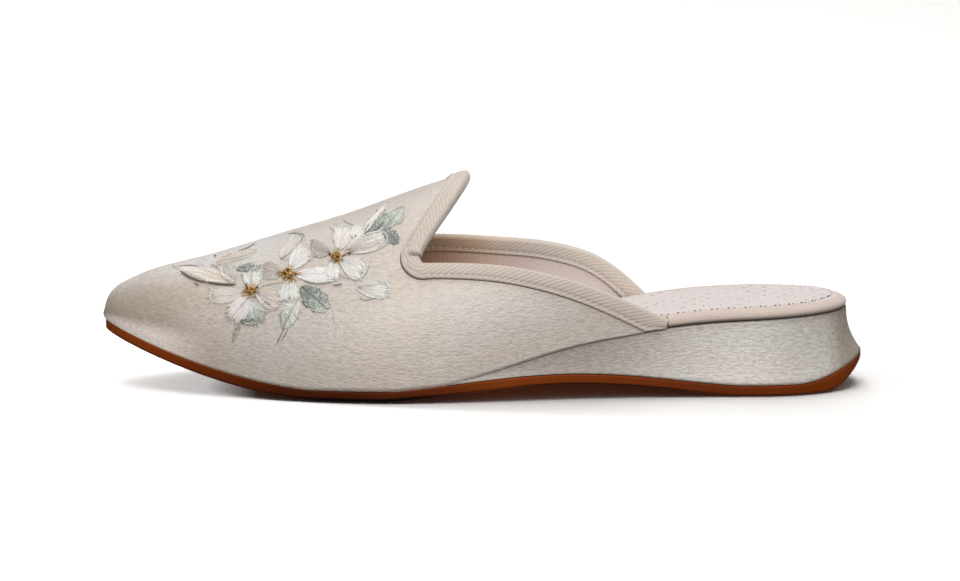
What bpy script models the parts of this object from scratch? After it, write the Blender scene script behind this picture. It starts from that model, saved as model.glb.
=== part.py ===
"""Embroidered satin mule slipper for the left foot, as its maker's five pieces.

The toe points along -X, the outer (lateral) side of the foot is at -Y, and +Z is up. Sizes are in metres.
Sections run from the toe to the heel. A station is a share of the slipper's length, and the sections'
widths and heights are shares of the ball width, the instep height and the heel height.
"""

import math
from collections import namedtuple

import bmesh
import bpy
import numpy as np

# Driving dimensions
LENGTH = 0.252
BALL_WIDTH = 0.079
INSTEP_HEIGHT = 0.0690
HEEL_HEIGHT = 0.0250

# Thicknesses, and the gap that neighbouring pieces keep
OUTSOLE_TOE_THICKNESS = 0.0036
OUTSOLE_HEEL_THICKNESS = 0.0034
WALL = 0.0014
TAPE = 0.0007
INSOLE_TOE_THICKNESS = 0.0034
INSOLE_HEEL_THICKNESS = 0.0043
GAP = 0.0003

# Side profile of the outsole: toe spring, flat forefoot, arch, flat heel, rounded-up back
TOE_SPRING = 0.0183
TOE_SPRING_POWER = 1.7
FOREFOOT_FLAT = (0.074, 0.094)
ARCH_RISE = 0.0047
ARCH_POWER = 1.35
HEEL_FLAT = (0.210, 0.239)
BACK_LIFT = 0.0088
BACK_EDGE_START = 0.229
BACK_EDGE_LIFT = 0.0074
BACK_POWER = 1.7

# Plan of the soles: the last ends short of the outsole, whose edge flares out towards the heel
LAST_END = 0.2470
LAST_BACK_ROUND = 0.034
OUTSOLE_BACK_ROUND = 0.037
OUTSOLE_TOE_INSET = 0.0010
BALL_MARGIN = 0.0004
HEEL_FLARE = 0.0020
WEDGE_START = 0.1150
FLARE_POWER = 2.2

# Upper: soft bulge of the wall above its lower edge, throat notch and tongue
BULGE = 0.0012
BULGE_REACH = 0.55
BULGE_HEIGHT = 0.008
THROAT = 0.1048
THROAT_HEIGHT = 0.0463
THROAT_RADIUS = 0.0024
TONGUE_TIP = 0.1207
TONGUE_POWER = 1.9
COLLAR_END = {"lateral": 0.1875, "medial": 0.1820}

# Binding: width of its legs round the tongue, beside the throat and at the collar's ends
TONGUE_TAPE = 0.0056
THROAT_TAPE = 0.0045
END_TAPE = 0.0056
TAPE_TAPER_POWER = 4
SHORTEST_LEG = 0.0006

# Insole: where it starts, its clearances from the wall and the binding, and its step out behind the collar
INSOLE_START = 0.0022
INSOLE_CLEAR = 0.0005
TAPE_CLEAR_RUN = 0.012
COLLAR_END_CLEAR = 0.0016
INSOLE_STEP_RUN = 0.003
INSOLE_CROWN = 1.10

# Half section of the insole: share of its half width, inset from there, and level in shares of its thickness
Edge = namedtuple("Edge", "share inset level")
INSOLE_EDGE = [
    Edge(1.00, 0.0000, 0.00),
    Edge(1.00, -0.0003, 0.45),
    Edge(1.00, 0.0004, 0.75),
    Edge(1.00, 0.0018, 0.95),
    Edge(0.50, 0.0000, INSOLE_CROWN),
]

# Half section of the outsole's edge: inset from its half width and level in shares of its thickness
OUTSOLE_EDGE = [
    Edge(1.00, 0.0010, 0.00),
    Edge(1.00, 0.0001, 0.25),
    Edge(1.00, -0.0002, 0.60),
    Edge(1.00, 0.0000, 1.00),
]

# Sections of the last: half widths of its sole line, ridge height, ridge shift to the inner side, fullness
Section = namedtuple("Section", "station lateral medial ridge shift fullness")
LAST = [
    Section(0.000, 0.000, 0.000, 0.316, 0.000, 2.10),
    Section(0.009, 0.081, 0.080, 0.432, 0.005, 2.10),
    Section(0.033, 0.157, 0.154, 0.494, 0.010, 2.10),
    Section(0.073, 0.238, 0.233, 0.551, 0.020, 2.12),
    Section(0.126, 0.322, 0.314, 0.597, 0.030, 2.15),
    Section(0.192, 0.405, 0.394, 0.664, 0.040, 2.18),
    Section(0.258, 0.473, 0.451, 0.735, 0.050, 2.20),
    Section(0.325, 0.517, 0.471, 0.808, 0.056, 2.22),
    Section(0.389, 0.529, 0.463, 0.893, 0.060, 2.22),
    Section(0.444, 0.518, 0.428, 0.962, 0.062, 2.20),
    Section(0.535, 0.476, 0.367, 1.045, 0.060, 2.20),
    Section(0.615, 0.430, 0.337, 1.100, 0.050, 2.25),
    Section(0.695, 0.392, 0.332, 1.150, 0.035, 2.30),
    Section(0.754, 0.375, 0.342, 1.180, 0.020, 2.30),
    Section(0.853, 0.360, 0.348, 1.200, 0.000, 2.30),
    Section(1.000, 0.360, 0.352, 1.200, 0.000, 2.30),
]

# Top of the wedge, in shares of the heel height
Ramp = namedtuple("Ramp", "station top")
WEDGE_TOP = [
    Ramp(0.430, 0.150),
    Ramp(0.451, 0.210),
    Ramp(0.526, 0.423),
    Ramp(0.607, 0.662),
    Ramp(0.647, 0.748),
    Ramp(0.685, 0.810),
    Ramp(0.742, 0.894),
    Ramp(0.786, 0.942),
    Ramp(0.837, 0.972),
    Ramp(0.893, 0.994),
    Ramp(1.000, 1.020),
]

# Height of the wall's collar edge, in shares of the instep height, along the run from throat to collar end
Collar = namedtuple("Collar", "run lateral medial")
COLLAR = [
    Collar(0.00, 0.634, 0.645),
    Collar(0.15, 0.636, 0.645),
    Collar(0.35, 0.621, 0.635),
    Collar(0.50, 0.587, 0.624),
    Collar(0.65, 0.534, 0.594),
    Collar(0.77, 0.477, 0.547),
    Collar(0.87, 0.422, 0.474),
    Collar(0.95, 0.377, 0.395),
    Collar(1.00, 0.349, 0.341),
]

SIDES = {"lateral": -1, "medial": 1}

# Mesh of the upper: rows from the toe and along each side, lines up the side and over the tongue
NOSE = 0.0003
VAMP_ROWS = 24
VAMP_SPACING = 1.8
SIDE_ROWS = 18
SIDE_SPACING = 1.6
SIDE_LINES = 7
TONGUE_LINES = 9
TONGUE_SPACING = 1.5

# Mesh of the binding: steps down the wall, points along a leg, and points round the fold
WALK_STEPS = 8
LEG_SHARES = (1.0, 0.92, 0.5)
FOLD_DEGREES = (90, 50, 0, -50, -90)

# Mesh of the soles
TOE_ROWS = 12
MIDDLE_ROWS = 22
BACK_ROWS = 10
BACK_FACET = math.radians(4)
WEDGE_LEVELS = (0.0, 0.1, 0.25, 0.45, 0.7, 1.0)
SHARP_EDGE = math.radians(40)

# Colours, linear
RUBBER_BROWN = (0.19, 0.045, 0.012)
SATIN_IVORY = (0.66, 0.60, 0.55)
TAPE_BEIGE = (0.66, 0.56, 0.48)
SOCK_BEIGE = (0.70, 0.61, 0.56)


def spline(keys, values):
    """A natural cubic spline through the values, as a function of the key."""
    keys = np.asarray(keys, float)
    values = np.asarray(values, float)
    gaps = np.diff(keys)
    slopes = np.diff(values) / gaps
    system = np.eye(len(keys))
    turn = np.zeros(len(keys))
    for i in range(1, len(keys) - 1):
        system[i, i - 1 : i + 2] = gaps[i - 1], 2 * (gaps[i - 1] + gaps[i]), gaps[i]
        turn[i] = 6 * (slopes[i] - slopes[i - 1])
    bend = np.linalg.solve(system, turn)

    def curve(key):
        key = np.clip(key, keys[0], keys[-1])
        i = np.clip(np.searchsorted(keys, key, side="right") - 1, 0, len(gaps) - 1)
        after, before = key - keys[i], keys[i + 1] - key
        cubic = (bend[i] * before**3 + bend[i + 1] * after**3) / (6 * gaps[i])
        left = (values[i] / gaps[i] - bend[i] * gaps[i] / 6) * before
        right = (values[i + 1] / gaps[i] - bend[i + 1] * gaps[i] / 6) * after
        return cubic + left + right

    return curve


def last_column(name, scale):
    """One column of the last's sections. It runs on the root of the station, which rounds the toe."""
    curve = spline([math.sqrt(row.station) for row in LAST], [getattr(row, name) for row in LAST])
    return lambda along: scale * curve(np.sqrt(np.maximum(along, 0) / LENGTH))


HALF = {side: last_column(side, BALL_WIDTH) for side in SIDES}
RIDGE = last_column("ridge", INSTEP_HEIGHT)
SHIFT = last_column("shift", BALL_WIDTH)
FULLNESS = last_column("fullness", 1.0)
RAMP = spline([row.station for row in WEDGE_TOP], [row.top for row in WEDGE_TOP])
COLLAR_LINE = {
    side: spline([row.run for row in COLLAR], [getattr(row, side) for row in COLLAR]) for side in SIDES
}
WIDEST = {side: max(getattr(row, side) for row in LAST) * BALL_WIDTH for side in SIDES}
CENTRE_Y = (WIDEST["medial"] - WIDEST["lateral"]) / 2


def place(along, across, height):
    """World point of a place: from the toe, from the last's axis to the inner side, and from the floor."""
    return np.stack(np.broadcast_arrays(along - LENGTH / 2, across - CENTRE_Y, height), axis=-1)


def rounded_end(left_over, reach):
    """Share of the full width, this far before a back that is rounded over its last reach."""
    t = np.clip(left_over / reach, 0, 1)
    return np.sqrt(1 - (1 - t) ** 2)


def towards_back(along, start):
    """A rise from 0 at the start to 1 at the very back."""
    return np.clip((along - start) / (LENGTH - start), 0, 1) ** BACK_POWER


def outsole_bottom(along):
    """Height of the outsole's underside: zero on the forefoot and heel flats."""
    toe = TOE_SPRING * np.clip(1 - along / FOREFOOT_FLAT[0], 0, 1) ** TOE_SPRING_POWER
    through_arch = np.clip((along - FOREFOOT_FLAT[1]) / (HEEL_FLAT[0] - FOREFOOT_FLAT[1]), 0, 1)
    arch = ARCH_RISE * np.abs(np.sin(math.pi * through_arch)) ** ARCH_POWER
    return toe + np.where(through_arch < 1, arch, 0) + BACK_LIFT * towards_back(along, HEEL_FLAT[1])


def outsole_thickness(along):
    """The upper edge starts to rise before the underside does, and less steeply."""
    even = OUTSOLE_TOE_THICKNESS + (OUTSOLE_HEEL_THICKNESS - OUTSOLE_TOE_THICKNESS) * along / LENGTH
    edge = BACK_EDGE_LIFT * towards_back(along, BACK_EDGE_START)
    return even + edge - BACK_LIFT * towards_back(along, HEEL_FLAT[1])


def outsole_top(along):
    return outsole_bottom(along) + outsole_thickness(along)


def wedge_top(along):
    return HEEL_HEIGHT * RAMP(along / LENGTH)


def seat(along):
    """What the upper and the insole stand on: the outsole in front, the wedge behind."""
    return np.maximum(outsole_top(along), wedge_top(along)) + GAP


def insole_thickness(along):
    return INSOLE_TOE_THICKNESS + (INSOLE_HEEL_THICKNESS - INSOLE_TOE_THICKNESS) * along / LENGTH


def widens(along, side):
    """How fast the last's half width grows along the length."""
    step = 1e-5
    return (HALF[side](along + step) - HALF[side](along)) / step


def last_half(along, side):
    """Half width of the last's sole line, closed by the round back."""
    return HALF[side](along) * rounded_end(LAST_END - along, LAST_BACK_ROUND)


def outsole_half(along, side):
    margin = BALL_MARGIN + (HEEL_FLARE - BALL_MARGIN) * np.clip(along / LENGTH, 0, 1) ** 2
    at_toe = np.clip(along / FOREFOOT_FLAT[0], 0, 1)
    half = HALF[side](along - OUTSOLE_TOE_INSET * (1 - at_toe)) + margin * np.sqrt(at_toe)
    return half * rounded_end(LENGTH - along, OUTSOLE_BACK_ROUND)


def last_point(along, round_share):
    """Outer surface of the upper. round_share runs from -1, at the lateral sole line, over the ridge to 1."""
    along, round_share = np.broadcast_arrays(np.asarray(along, float), np.asarray(round_share, float))
    side = np.where(round_share < 0, -1.0, 1.0)
    angle = (1 - np.abs(round_share)) * math.pi / 2
    power = 2 / FULLNESS(along)
    half = np.where(side < 0, HALF["lateral"](along), HALF["medial"](along))
    widening = np.where(side < 0, widens(along, "lateral"), widens(along, "medial"))
    low = seat(along)
    rise = np.maximum(RIDGE(along) - low, 0)
    reach = half - side * SHIFT(along)
    across = SHIFT(along) + side * reach * np.cos(angle) ** power
    height = low + rise * np.sin(angle) ** power
    swell = np.sin(math.pi * np.clip((1 - np.abs(round_share)) / BULGE_REACH, 0, 1))
    bulge = BULGE * swell * rise / (rise + BULGE_HEIGHT)
    facing = np.hypot(widening, 1)
    return place(along - bulge * widening / facing, across + side * bulge / facing, height)


def last_slopes(along, round_share):
    """The surface's two slopes and its outward normal."""
    step_along, step_round = 2e-5, 2e-3
    first = last_point(along + step_along, round_share) - last_point(along - step_along, round_share)
    inner = np.clip(np.asarray(round_share, float) - step_round, -1, 1)
    outer = np.clip(np.asarray(round_share, float) + step_round, -1, 1)
    second = last_point(along, outer) - last_point(along, inner)
    first = first / (2 * step_along)
    second = second / (outer - inner)[..., None]
    normal = np.cross(first, second)
    return first, second, normal / np.linalg.norm(normal, axis=-1, keepdims=True)


def share_at_height(along, side, height):
    """The round_share at which a section's wall reaches this height."""
    rise = (height - seat(along)) / (RIDGE(along) - seat(along))
    angle = np.arcsin(np.clip(rise, 0, 1) ** (FULLNESS(along) / 2))
    return SIDES[side] * (1 - angle / (math.pi / 2))


def collar_height(along, side):
    """Height of the wall's edge along the side, with the round corner of the throat notch."""
    run = (along - THROAT) / (COLLAR_END[side] - THROAT)
    from_corner = THROAT_RADIUS - np.clip(along - THROAT, 0, THROAT_RADIUS)
    corner = THROAT_RADIUS - np.sqrt(THROAT_RADIUS**2 - from_corner**2)
    return INSTEP_HEIGHT * COLLAR_LINE[side](run) + corner


def throat_share(side):
    return float(share_at_height(np.array(THROAT), side, collar_height(np.array(THROAT), side)))


def tongue_edge(round_share):
    """Station of the tongue's back edge, from the throat's corner up to the tip on the ridge."""
    round_share = np.asarray(round_share, float)
    corner = np.where(round_share < 0, abs(throat_share("lateral")), throat_share("medial"))
    longest = math.sqrt((TONGUE_TIP - THROAT + THROAT_RADIUS) ** 2 - THROAT_RADIUS**2)
    reach = longest * (1 - np.clip(np.abs(round_share) / corner, 0, 1) ** TONGUE_POWER)
    return THROAT + np.hypot(reach, THROAT_RADIUS) - THROAT_RADIUS


def spaced(count, power):
    """Shares from 0 to 1 that lie closer together near 0."""
    return (np.arange(count + 1) / count) ** power


def new_object(name, bm, material, parent):
    bmesh.ops.recalc_face_normals(bm, faces=bm.faces)
    mesh = bpy.data.meshes.new(name)
    bm.to_mesh(mesh)
    bm.free()
    mesh.shade_smooth()
    mesh.set_sharp_from_angle(angle=SHARP_EDGE)
    mesh.materials.append(material)
    made = bpy.data.objects.new(name, mesh)
    made.parent = parent
    bpy.context.scene.collection.objects.link(made)
    return made


def stitch(bm, rows):
    """Faces between neighbouring rows of vertices."""
    for near, far in zip(rows, rows[1:]):
        for i in range(len(near) - 1):
            bm.faces.new((near[i], near[i + 1], far[i + 1], far[i]))


def loft(rings):
    """A closed solid through rings of points, capped at both ends."""
    bm = bmesh.new()
    made = [[bm.verts.new(point) for point in ring] for ring in rings]
    stitch(bm, [ring + ring[:1] for ring in made])
    bm.faces.new(made[0])
    bm.faces.new(made[-1])
    return bm


def new_material(name, colour, roughness):
    made = bpy.data.materials.new(name)
    made.use_nodes = True
    shader = made.node_tree.nodes["Principled BSDF"]
    shader.inputs["Base Color"].default_value = (*colour, 1.0)
    shader.inputs["Roughness"].default_value = roughness
    shader.inputs["Metallic"].default_value = 0.0
    return made


def round_lines():
    """round_share of every line that runs from the toe, with the two throat corners among them."""
    lateral, medial = throat_share("lateral"), throat_share("medial")
    off_corner = 1 - spaced(TONGUE_LINES, TONGUE_SPACING)
    return np.concatenate(
        [
            np.linspace(-1, lateral, SIDE_LINES + 1)[:-1],
            lateral * off_corner[:-1],
            medial * off_corner[:0:-1],
            np.linspace(medial, 1, SIDE_LINES + 1),
        ]
    )


def side_stations(side):
    return THROAT + (COLLAR_END[side] - THROAT) * spaced(SIDE_ROWS, SIDE_SPACING)


def side_top(along, side):
    """round_share of the collar's edge on one side."""
    return share_at_height(along, side, collar_height(along, side))


def build_upper(material, parent):
    """Vamp and tongue from the toe, then both side walls: one sheet that is given the wall's thickness."""
    bm = bmesh.new()
    lines = round_lines()
    run = tongue_edge(lines) - NOSE
    vamp = []
    for share in spaced(VAMP_ROWS, VAMP_SPACING):
        vamp.append([bm.verts.new(point) for point in last_point(NOSE + run * share, lines)])
    stitch(bm, vamp)
    bm.faces.new(vamp[0])
    beside_throat = {"lateral": vamp[-1][: SIDE_LINES + 1], "medial": vamp[-1][: -SIDE_LINES - 2 : -1]}
    for side, way in SIDES.items():
        rows = [beside_throat[side]]
        for along in side_stations(side)[1:]:
            points = last_point(along, np.linspace(way, side_top(along, side), SIDE_LINES + 1))
            rows.append([bm.verts.new(point) for point in points])
        stitch(bm, rows)
    upper = new_object("upper", bm, material, parent)
    solidify = upper.modifiers.new("wall", "SOLIDIFY")
    solidify.thickness = WALL
    solidify.offset = -1
    return upper


def collar_path():
    """Stations, round_shares and tape widths along the collar, from one end round the tongue to the other."""
    stations, shares, widths = {}, {}, {}
    for side in SIDES:
        stations[side] = side_stations(side)[1:]
        shares[side] = side_top(stations[side], side)
        run = (stations[side] - THROAT) / (COLLAR_END[side] - THROAT)
        widths[side] = THROAT_TAPE + (END_TAPE - THROAT_TAPE) * run**2
    tongue = round_lines()[SIDE_LINES:-SIDE_LINES]
    off_tip = np.abs(tongue) / np.where(tongue < 0, -throat_share("lateral"), throat_share("medial"))
    tongue_widths = TONGUE_TAPE + (THROAT_TAPE - TONGUE_TAPE) * off_tip**TAPE_TAPER_POWER
    return (
        np.concatenate([stations["lateral"][::-1], tongue_edge(tongue), stations["medial"]]),
        np.concatenate([shares["lateral"][::-1], tongue, shares["medial"]]),
        np.concatenate([widths["lateral"][::-1], tongue_widths, widths["medial"]]),
    )


def walk_in(along, round_share, inward, distance, lowest):
    """Moves along the surface from the collar, and stops where it would come lower than lowest."""
    for _ in range(WALK_STEPS):
        first, second, _ = last_slopes(along, round_share)
        step = inward * distance / WALK_STEPS
        move, *_ = np.linalg.lstsq(np.stack([first, second], axis=1), step, rcond=None)
        onward = along + move[0], float(np.clip(round_share + move[1], -1, 1))
        if last_point(*onward)[2] < lowest(onward[0]):
            break
        along, round_share = onward
    return along, round_share


def binding_ring(along, round_share, inward, width):
    """The folded tape's section at one place of the collar: outer leg, fold, inner leg, and back inside."""
    edge = last_point(along, round_share)
    facing = last_slopes(along, round_share)[2]
    out, back = GAP + TAPE, WALL + GAP

    def above_insole(at):
        clear = seat(at) + insole_thickness(at) * INSOLE_CROWN + GAP
        return max(seat(at) + GAP, min(clear, edge[2] - SHORTEST_LEG))

    def leg(lowest):
        """The wall's points and normals at the leg's free end, just short of it, and half way."""
        end = walk_in(along, round_share, inward, width, lowest)
        spots = [(along + (end[0] - along) * k, round_share + (end[1] - round_share) * k) for k in LEG_SHARES]
        return [(last_point(*spot), last_slopes(*spot)[2]) for spot in spots]

    (end, end_n), (near, near_n), (middle, middle_n) = leg(lambda at: seat(at) + GAP)
    ring = [middle + middle_n * GAP, end + end_n * GAP, end + end_n * (GAP + TAPE / 2)]
    ring += [near + near_n * out, middle + middle_n * out]
    for turn in np.radians(FOLD_DEGREES):
        lift = (WALL / 2 + out) * math.sin(turn) - WALL / 2
        ring.append(edge + facing * lift - inward * out * math.cos(turn))
    (end, end_n), (near, near_n), (middle, middle_n) = leg(above_insole)
    ring += [middle - middle_n * (back + TAPE), near - near_n * (back + TAPE)]
    ring += [end - end_n * (back + TAPE / 2), end - end_n * back, middle - middle_n * back]
    ring += [edge - facing * back - inward * GAP, edge + facing * GAP - inward * GAP]
    return ring


def build_binding(material, parent):
    """Twill tape folded over the collar's edge."""
    along, shares, widths = collar_path()
    tangents = np.gradient(last_point(along, shares), axis=0)
    rings = []
    for i, tangent in enumerate(tangents):
        inward = np.cross(last_slopes(along[i], shares[i])[2], tangent)
        rings.append(binding_ring(along[i], shares[i], inward / np.linalg.norm(inward), widths[i]))
    return new_object("collar_binding", loft(rings), material, parent)


def back_stations(end, reach):
    """Stations round a back that ends in a narrow facet."""
    turn = np.linspace(math.pi / 2, BACK_FACET, BACK_ROWS + 1)
    return end - reach * (1 - np.cos(turn))


def outsole_stations():
    """Close steps round the toe, the forefoot flat, the arch, and the round back."""
    start = OUTSOLE_TOE_INSET + NOSE
    toe = start + (FOREFOOT_FLAT[0] - start) * spaced(TOE_ROWS, VAMP_SPACING)
    arch = np.linspace(FOREFOOT_FLAT[1], HEEL_FLAT[0], MIDDLE_ROWS)
    return np.concatenate([toe, [sum(FOREFOOT_FLAT) / 2], arch, back_stations(LENGTH, OUTSOLE_BACK_ROUND)])


def build_outsole(material, parent):
    """Rubber sole with a softly rounded edge. Its underside is flat under the ball and the heel."""
    rings = []
    for along in outsole_stations():
        ring = []
        for side, way in SIDES.items():
            half = outsole_half(along, side)
            for row in OUTSOLE_EDGE if way < 0 else OUTSOLE_EDGE[::-1]:
                height = outsole_bottom(along) + row.level * outsole_thickness(along)
                ring.append(place(along, way * max(half - row.inset, half / 2), height))
        rings.append(ring)
    return new_object("outsole", loft(rings), material, parent)


def wedge_line(level):
    """Stations of one line round the wedge's wall, and how far this level flares out to the outsole."""
    flare = (1 - level) ** FLARE_POWER
    end = LAST_END + (LENGTH - LAST_END) * flare
    reach = LAST_BACK_ROUND + (OUTSOLE_BACK_ROUND - LAST_BACK_ROUND) * flare
    straight = np.linspace(WEDGE_START, end - reach, MIDDLE_ROWS)[:-1]
    return np.concatenate([straight, back_stations(end, reach)]), end, flare


def wedge_points(level, side):
    """Points of that line on one side, its stations stretched to the outsole's and the last's ends."""
    stations, end, flare = wedge_line(level)
    stretch = (stations - WEDGE_START) / (end - WEDGE_START)
    below = WEDGE_START + stretch * (LENGTH - WEDGE_START)
    above = WEDGE_START + stretch * (LAST_END - WEDGE_START)
    half = outsole_half(below, side) * flare + last_half(above, side) * (1 - flare)
    low = outsole_top(below) + GAP
    return place(stations, SIDES[side] * half, low + (wedge_top(above) - low) * level)


def build_wedge(material, parent):
    """Covered wedge: its sides and back curve out to the outsole."""
    lines = [wedge_points(level, "lateral") for level in WEDGE_LEVELS]
    lines += [wedge_points(level, "medial") for level in WEDGE_LEVELS[::-1]]
    return new_object("wedge", loft(list(zip(*lines))), material, parent)


def insole_half(along, side):
    """Half width of the insole: inside the wall, clear of the binding, and flush with the wedge behind it."""
    beside_tape = np.clip((along - COLLAR_END[side]) / TAPE_CLEAR_RUN + 2, 0, 1)
    past = np.clip((along - COLLAR_END[side] - COLLAR_END_CLEAR) / INSOLE_STEP_RUN, 0, 1)
    inset = WALL + INSOLE_CLEAR + (GAP + TAPE + GAP) * beside_tape
    inset = inset * np.hypot(widens(along, side), 1) * (1 - past * past * (3 - 2 * past))
    return last_half(along, side) - inset


def insole_stations():
    """Close steps at the toe and past both collar ends, and the round back."""
    first = COLLAR_END["medial"] - TAPE_CLEAR_RUN
    last = COLLAR_END["lateral"] + COLLAR_END_CLEAR + INSOLE_STEP_RUN
    toe = INSOLE_START + (first - INSOLE_START) * spaced(VAMP_ROWS, VAMP_SPACING)[:-1]
    step = np.linspace(first, last, MIDDLE_ROWS)
    return np.concatenate([toe, step, back_stations(LAST_END, LAST_BACK_ROUND)])


def build_insole(material, parent):
    """Padded insole with a rolled edge and a slightly raised middle."""
    rings = []
    for along in insole_stations():
        ring = []
        for side, way in SIDES.items():
            half = max(float(insole_half(along, side)), NOSE)
            for row in INSOLE_EDGE if way < 0 else INSOLE_EDGE[::-1]:
                wide = max(half * row.share - row.inset, half * INSOLE_EDGE[-1].share)
                ring.append(place(along, way * wide, seat(along) + row.level * insole_thickness(along)))
        rings.append(ring)
    return new_object("insole", loft(rings), material, parent)


def main():
    for old in list(bpy.data.objects):
        bpy.data.objects.remove(old)
    slipper = bpy.data.objects.new("slipper", None)
    bpy.context.scene.collection.objects.link(slipper)
    build_outsole(new_material("rubber", RUBBER_BROWN, 0.45), slipper)
    build_wedge(new_material("wedge_satin", SATIN_IVORY, 0.42), slipper)
    build_upper(new_material("upper_satin", SATIN_IVORY, 0.42), slipper)
    build_binding(new_material("twill_tape", TAPE_BEIGE, 0.75), slipper)
    build_insole(new_material("sock_cloth", SOCK_BEIGE, 0.80), slipper)


main()
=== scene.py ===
"""Looks of the embroidered satin mule: its fabrics, tape, padded insole, rubber sole and thread work.

The toe points along -X, the outer (lateral) side of the foot is at -Y, and +Z is up. Sizes are in metres.
A place on the upper is given by its distance from the toe (along) and its share of the way round from the
lateral sole line at -1, over the ridge at 0, to the medial sole line at 1.
"""

import math
from collections import namedtuple

import bmesh
import bpy
import numpy as np
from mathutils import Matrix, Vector
from mathutils.bvhtree import BVHTree


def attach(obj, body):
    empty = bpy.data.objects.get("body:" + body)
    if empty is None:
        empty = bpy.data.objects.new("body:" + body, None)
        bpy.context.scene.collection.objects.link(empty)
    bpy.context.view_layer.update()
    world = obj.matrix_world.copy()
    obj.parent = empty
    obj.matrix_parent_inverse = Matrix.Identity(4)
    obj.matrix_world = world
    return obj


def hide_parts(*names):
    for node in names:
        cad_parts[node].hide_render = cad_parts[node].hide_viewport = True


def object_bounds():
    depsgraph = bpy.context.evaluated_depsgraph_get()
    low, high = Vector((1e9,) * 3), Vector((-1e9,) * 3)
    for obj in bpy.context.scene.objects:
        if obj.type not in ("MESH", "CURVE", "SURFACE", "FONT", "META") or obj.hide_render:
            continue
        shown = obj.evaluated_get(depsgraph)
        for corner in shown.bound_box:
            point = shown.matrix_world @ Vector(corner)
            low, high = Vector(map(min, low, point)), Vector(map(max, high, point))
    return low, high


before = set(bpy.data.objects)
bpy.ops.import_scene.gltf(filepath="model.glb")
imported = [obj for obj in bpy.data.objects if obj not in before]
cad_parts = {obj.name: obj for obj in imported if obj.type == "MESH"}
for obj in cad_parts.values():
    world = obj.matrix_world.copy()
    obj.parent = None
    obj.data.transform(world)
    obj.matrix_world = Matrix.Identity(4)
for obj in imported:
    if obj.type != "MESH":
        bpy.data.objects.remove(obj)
CAD_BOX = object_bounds()
RANDOM = np.random.default_rng(7)

# Driving dimensions
LENGTH = 0.252
BALL_WIDTH = 0.079
INSTEP_HEIGHT = 0.0690
HEEL_HEIGHT = 0.0250

# Thicknesses, and the gap that neighbouring pieces keep
OUTSOLE_TOE_THICKNESS = 0.0036
OUTSOLE_HEEL_THICKNESS = 0.0034
WALL = 0.0014
TAPE = 0.0007
INSOLE_TOE_THICKNESS = 0.0034
INSOLE_HEEL_THICKNESS = 0.0043
GAP = 0.0003

# Side profile of the outsole: toe spring, flat forefoot, arch, flat heel, rounded-up back
TOE_SPRING = 0.0183
TOE_SPRING_POWER = 1.7
FOREFOOT_FLAT = (0.074, 0.094)
ARCH_RISE = 0.0047
ARCH_POWER = 1.35
HEEL_FLAT = (0.210, 0.239)
BACK_LIFT = 0.0088
BACK_EDGE_START = 0.229
BACK_EDGE_LIFT = 0.0074
BACK_POWER = 1.7

# Plan of the soles: the last ends short of the outsole, whose edge flares out towards the heel
LAST_END = 0.2470
LAST_BACK_ROUND = 0.034
OUTSOLE_BACK_ROUND = 0.037
OUTSOLE_TOE_INSET = 0.0005
BALL_MARGIN = 0.0004
HEEL_FLARE = 0.0020
WEDGE_START = 0.1150
FLARE_POWER = 2.2

# Upper: soft bulge of the wall above its lower edge, throat notch and tongue
BULGE = 0.0012
BULGE_REACH = 0.55
BULGE_HEIGHT = 0.008
THROAT = 0.1048
THROAT_RADIUS = 0.0024
TONGUE_TIP = 0.1207
TONGUE_POWER = 1.9
COLLAR_END = {"lateral": 0.1875, "medial": 0.1820}
COLLAR_TRIM = 0.0014

# Binding: width of its legs round the tongue, beside the throat and at the collar's ends
TONGUE_TAPE = 0.0056
THROAT_TAPE = 0.0045
END_TAPE = 0.0056
TAPE_TAPER_POWER = 4
SHORTEST_LEG = 0.0006

# Insole: where it starts, its clearances from the wall and the binding, and its step out behind the collar
INSOLE_START = 0.0022
INSOLE_CLEAR = 0.0005
TAPE_CLEAR_RUN = 0.012
COLLAR_END_CLEAR = 0.0001
INSOLE_STEP_RUN = 0.0004
INSOLE_CROWN = 1.10

# Sections of the last: half widths of its sole line, ridge height, ridge shift to the inner side, fullness
Section = namedtuple("Section", "station lateral medial ridge shift fullness")
LAST = [
    Section(0.000, 0.000, 0.000, 0.316, 0.000, 2.10),
    Section(0.009, 0.081, 0.080, 0.432, 0.005, 2.10),
    Section(0.033, 0.157, 0.154, 0.494, 0.010, 2.10),
    Section(0.073, 0.238, 0.233, 0.551, 0.020, 2.12),
    Section(0.126, 0.322, 0.314, 0.597, 0.030, 2.15),
    Section(0.192, 0.405, 0.394, 0.664, 0.040, 2.18),
    Section(0.258, 0.473, 0.451, 0.735, 0.050, 2.20),
    Section(0.325, 0.517, 0.471, 0.808, 0.056, 2.22),
    Section(0.389, 0.529, 0.463, 0.893, 0.060, 2.22),
    Section(0.444, 0.518, 0.428, 0.962, 0.062, 2.20),
    Section(0.535, 0.476, 0.367, 1.045, 0.060, 2.20),
    Section(0.615, 0.430, 0.337, 1.100, 0.050, 2.25),
    Section(0.695, 0.392, 0.332, 1.150, 0.035, 2.30),
    Section(0.754, 0.375, 0.342, 1.180, 0.020, 2.30),
    Section(0.853, 0.360, 0.348, 1.200, 0.000, 2.30),
    Section(1.000, 0.360, 0.352, 1.200, 0.000, 2.30),
]

# Top of the wedge, in shares of the heel height
Ramp = namedtuple("Ramp", "station top")
WEDGE_TOP = [
    Ramp(0.430, 0.150),
    Ramp(0.451, 0.210),
    Ramp(0.526, 0.423),
    Ramp(0.607, 0.662),
    Ramp(0.647, 0.748),
    Ramp(0.685, 0.810),
    Ramp(0.742, 0.894),
    Ramp(0.786, 0.942),
    Ramp(0.837, 0.972),
    Ramp(0.893, 0.994),
    Ramp(1.000, 1.020),
]

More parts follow.
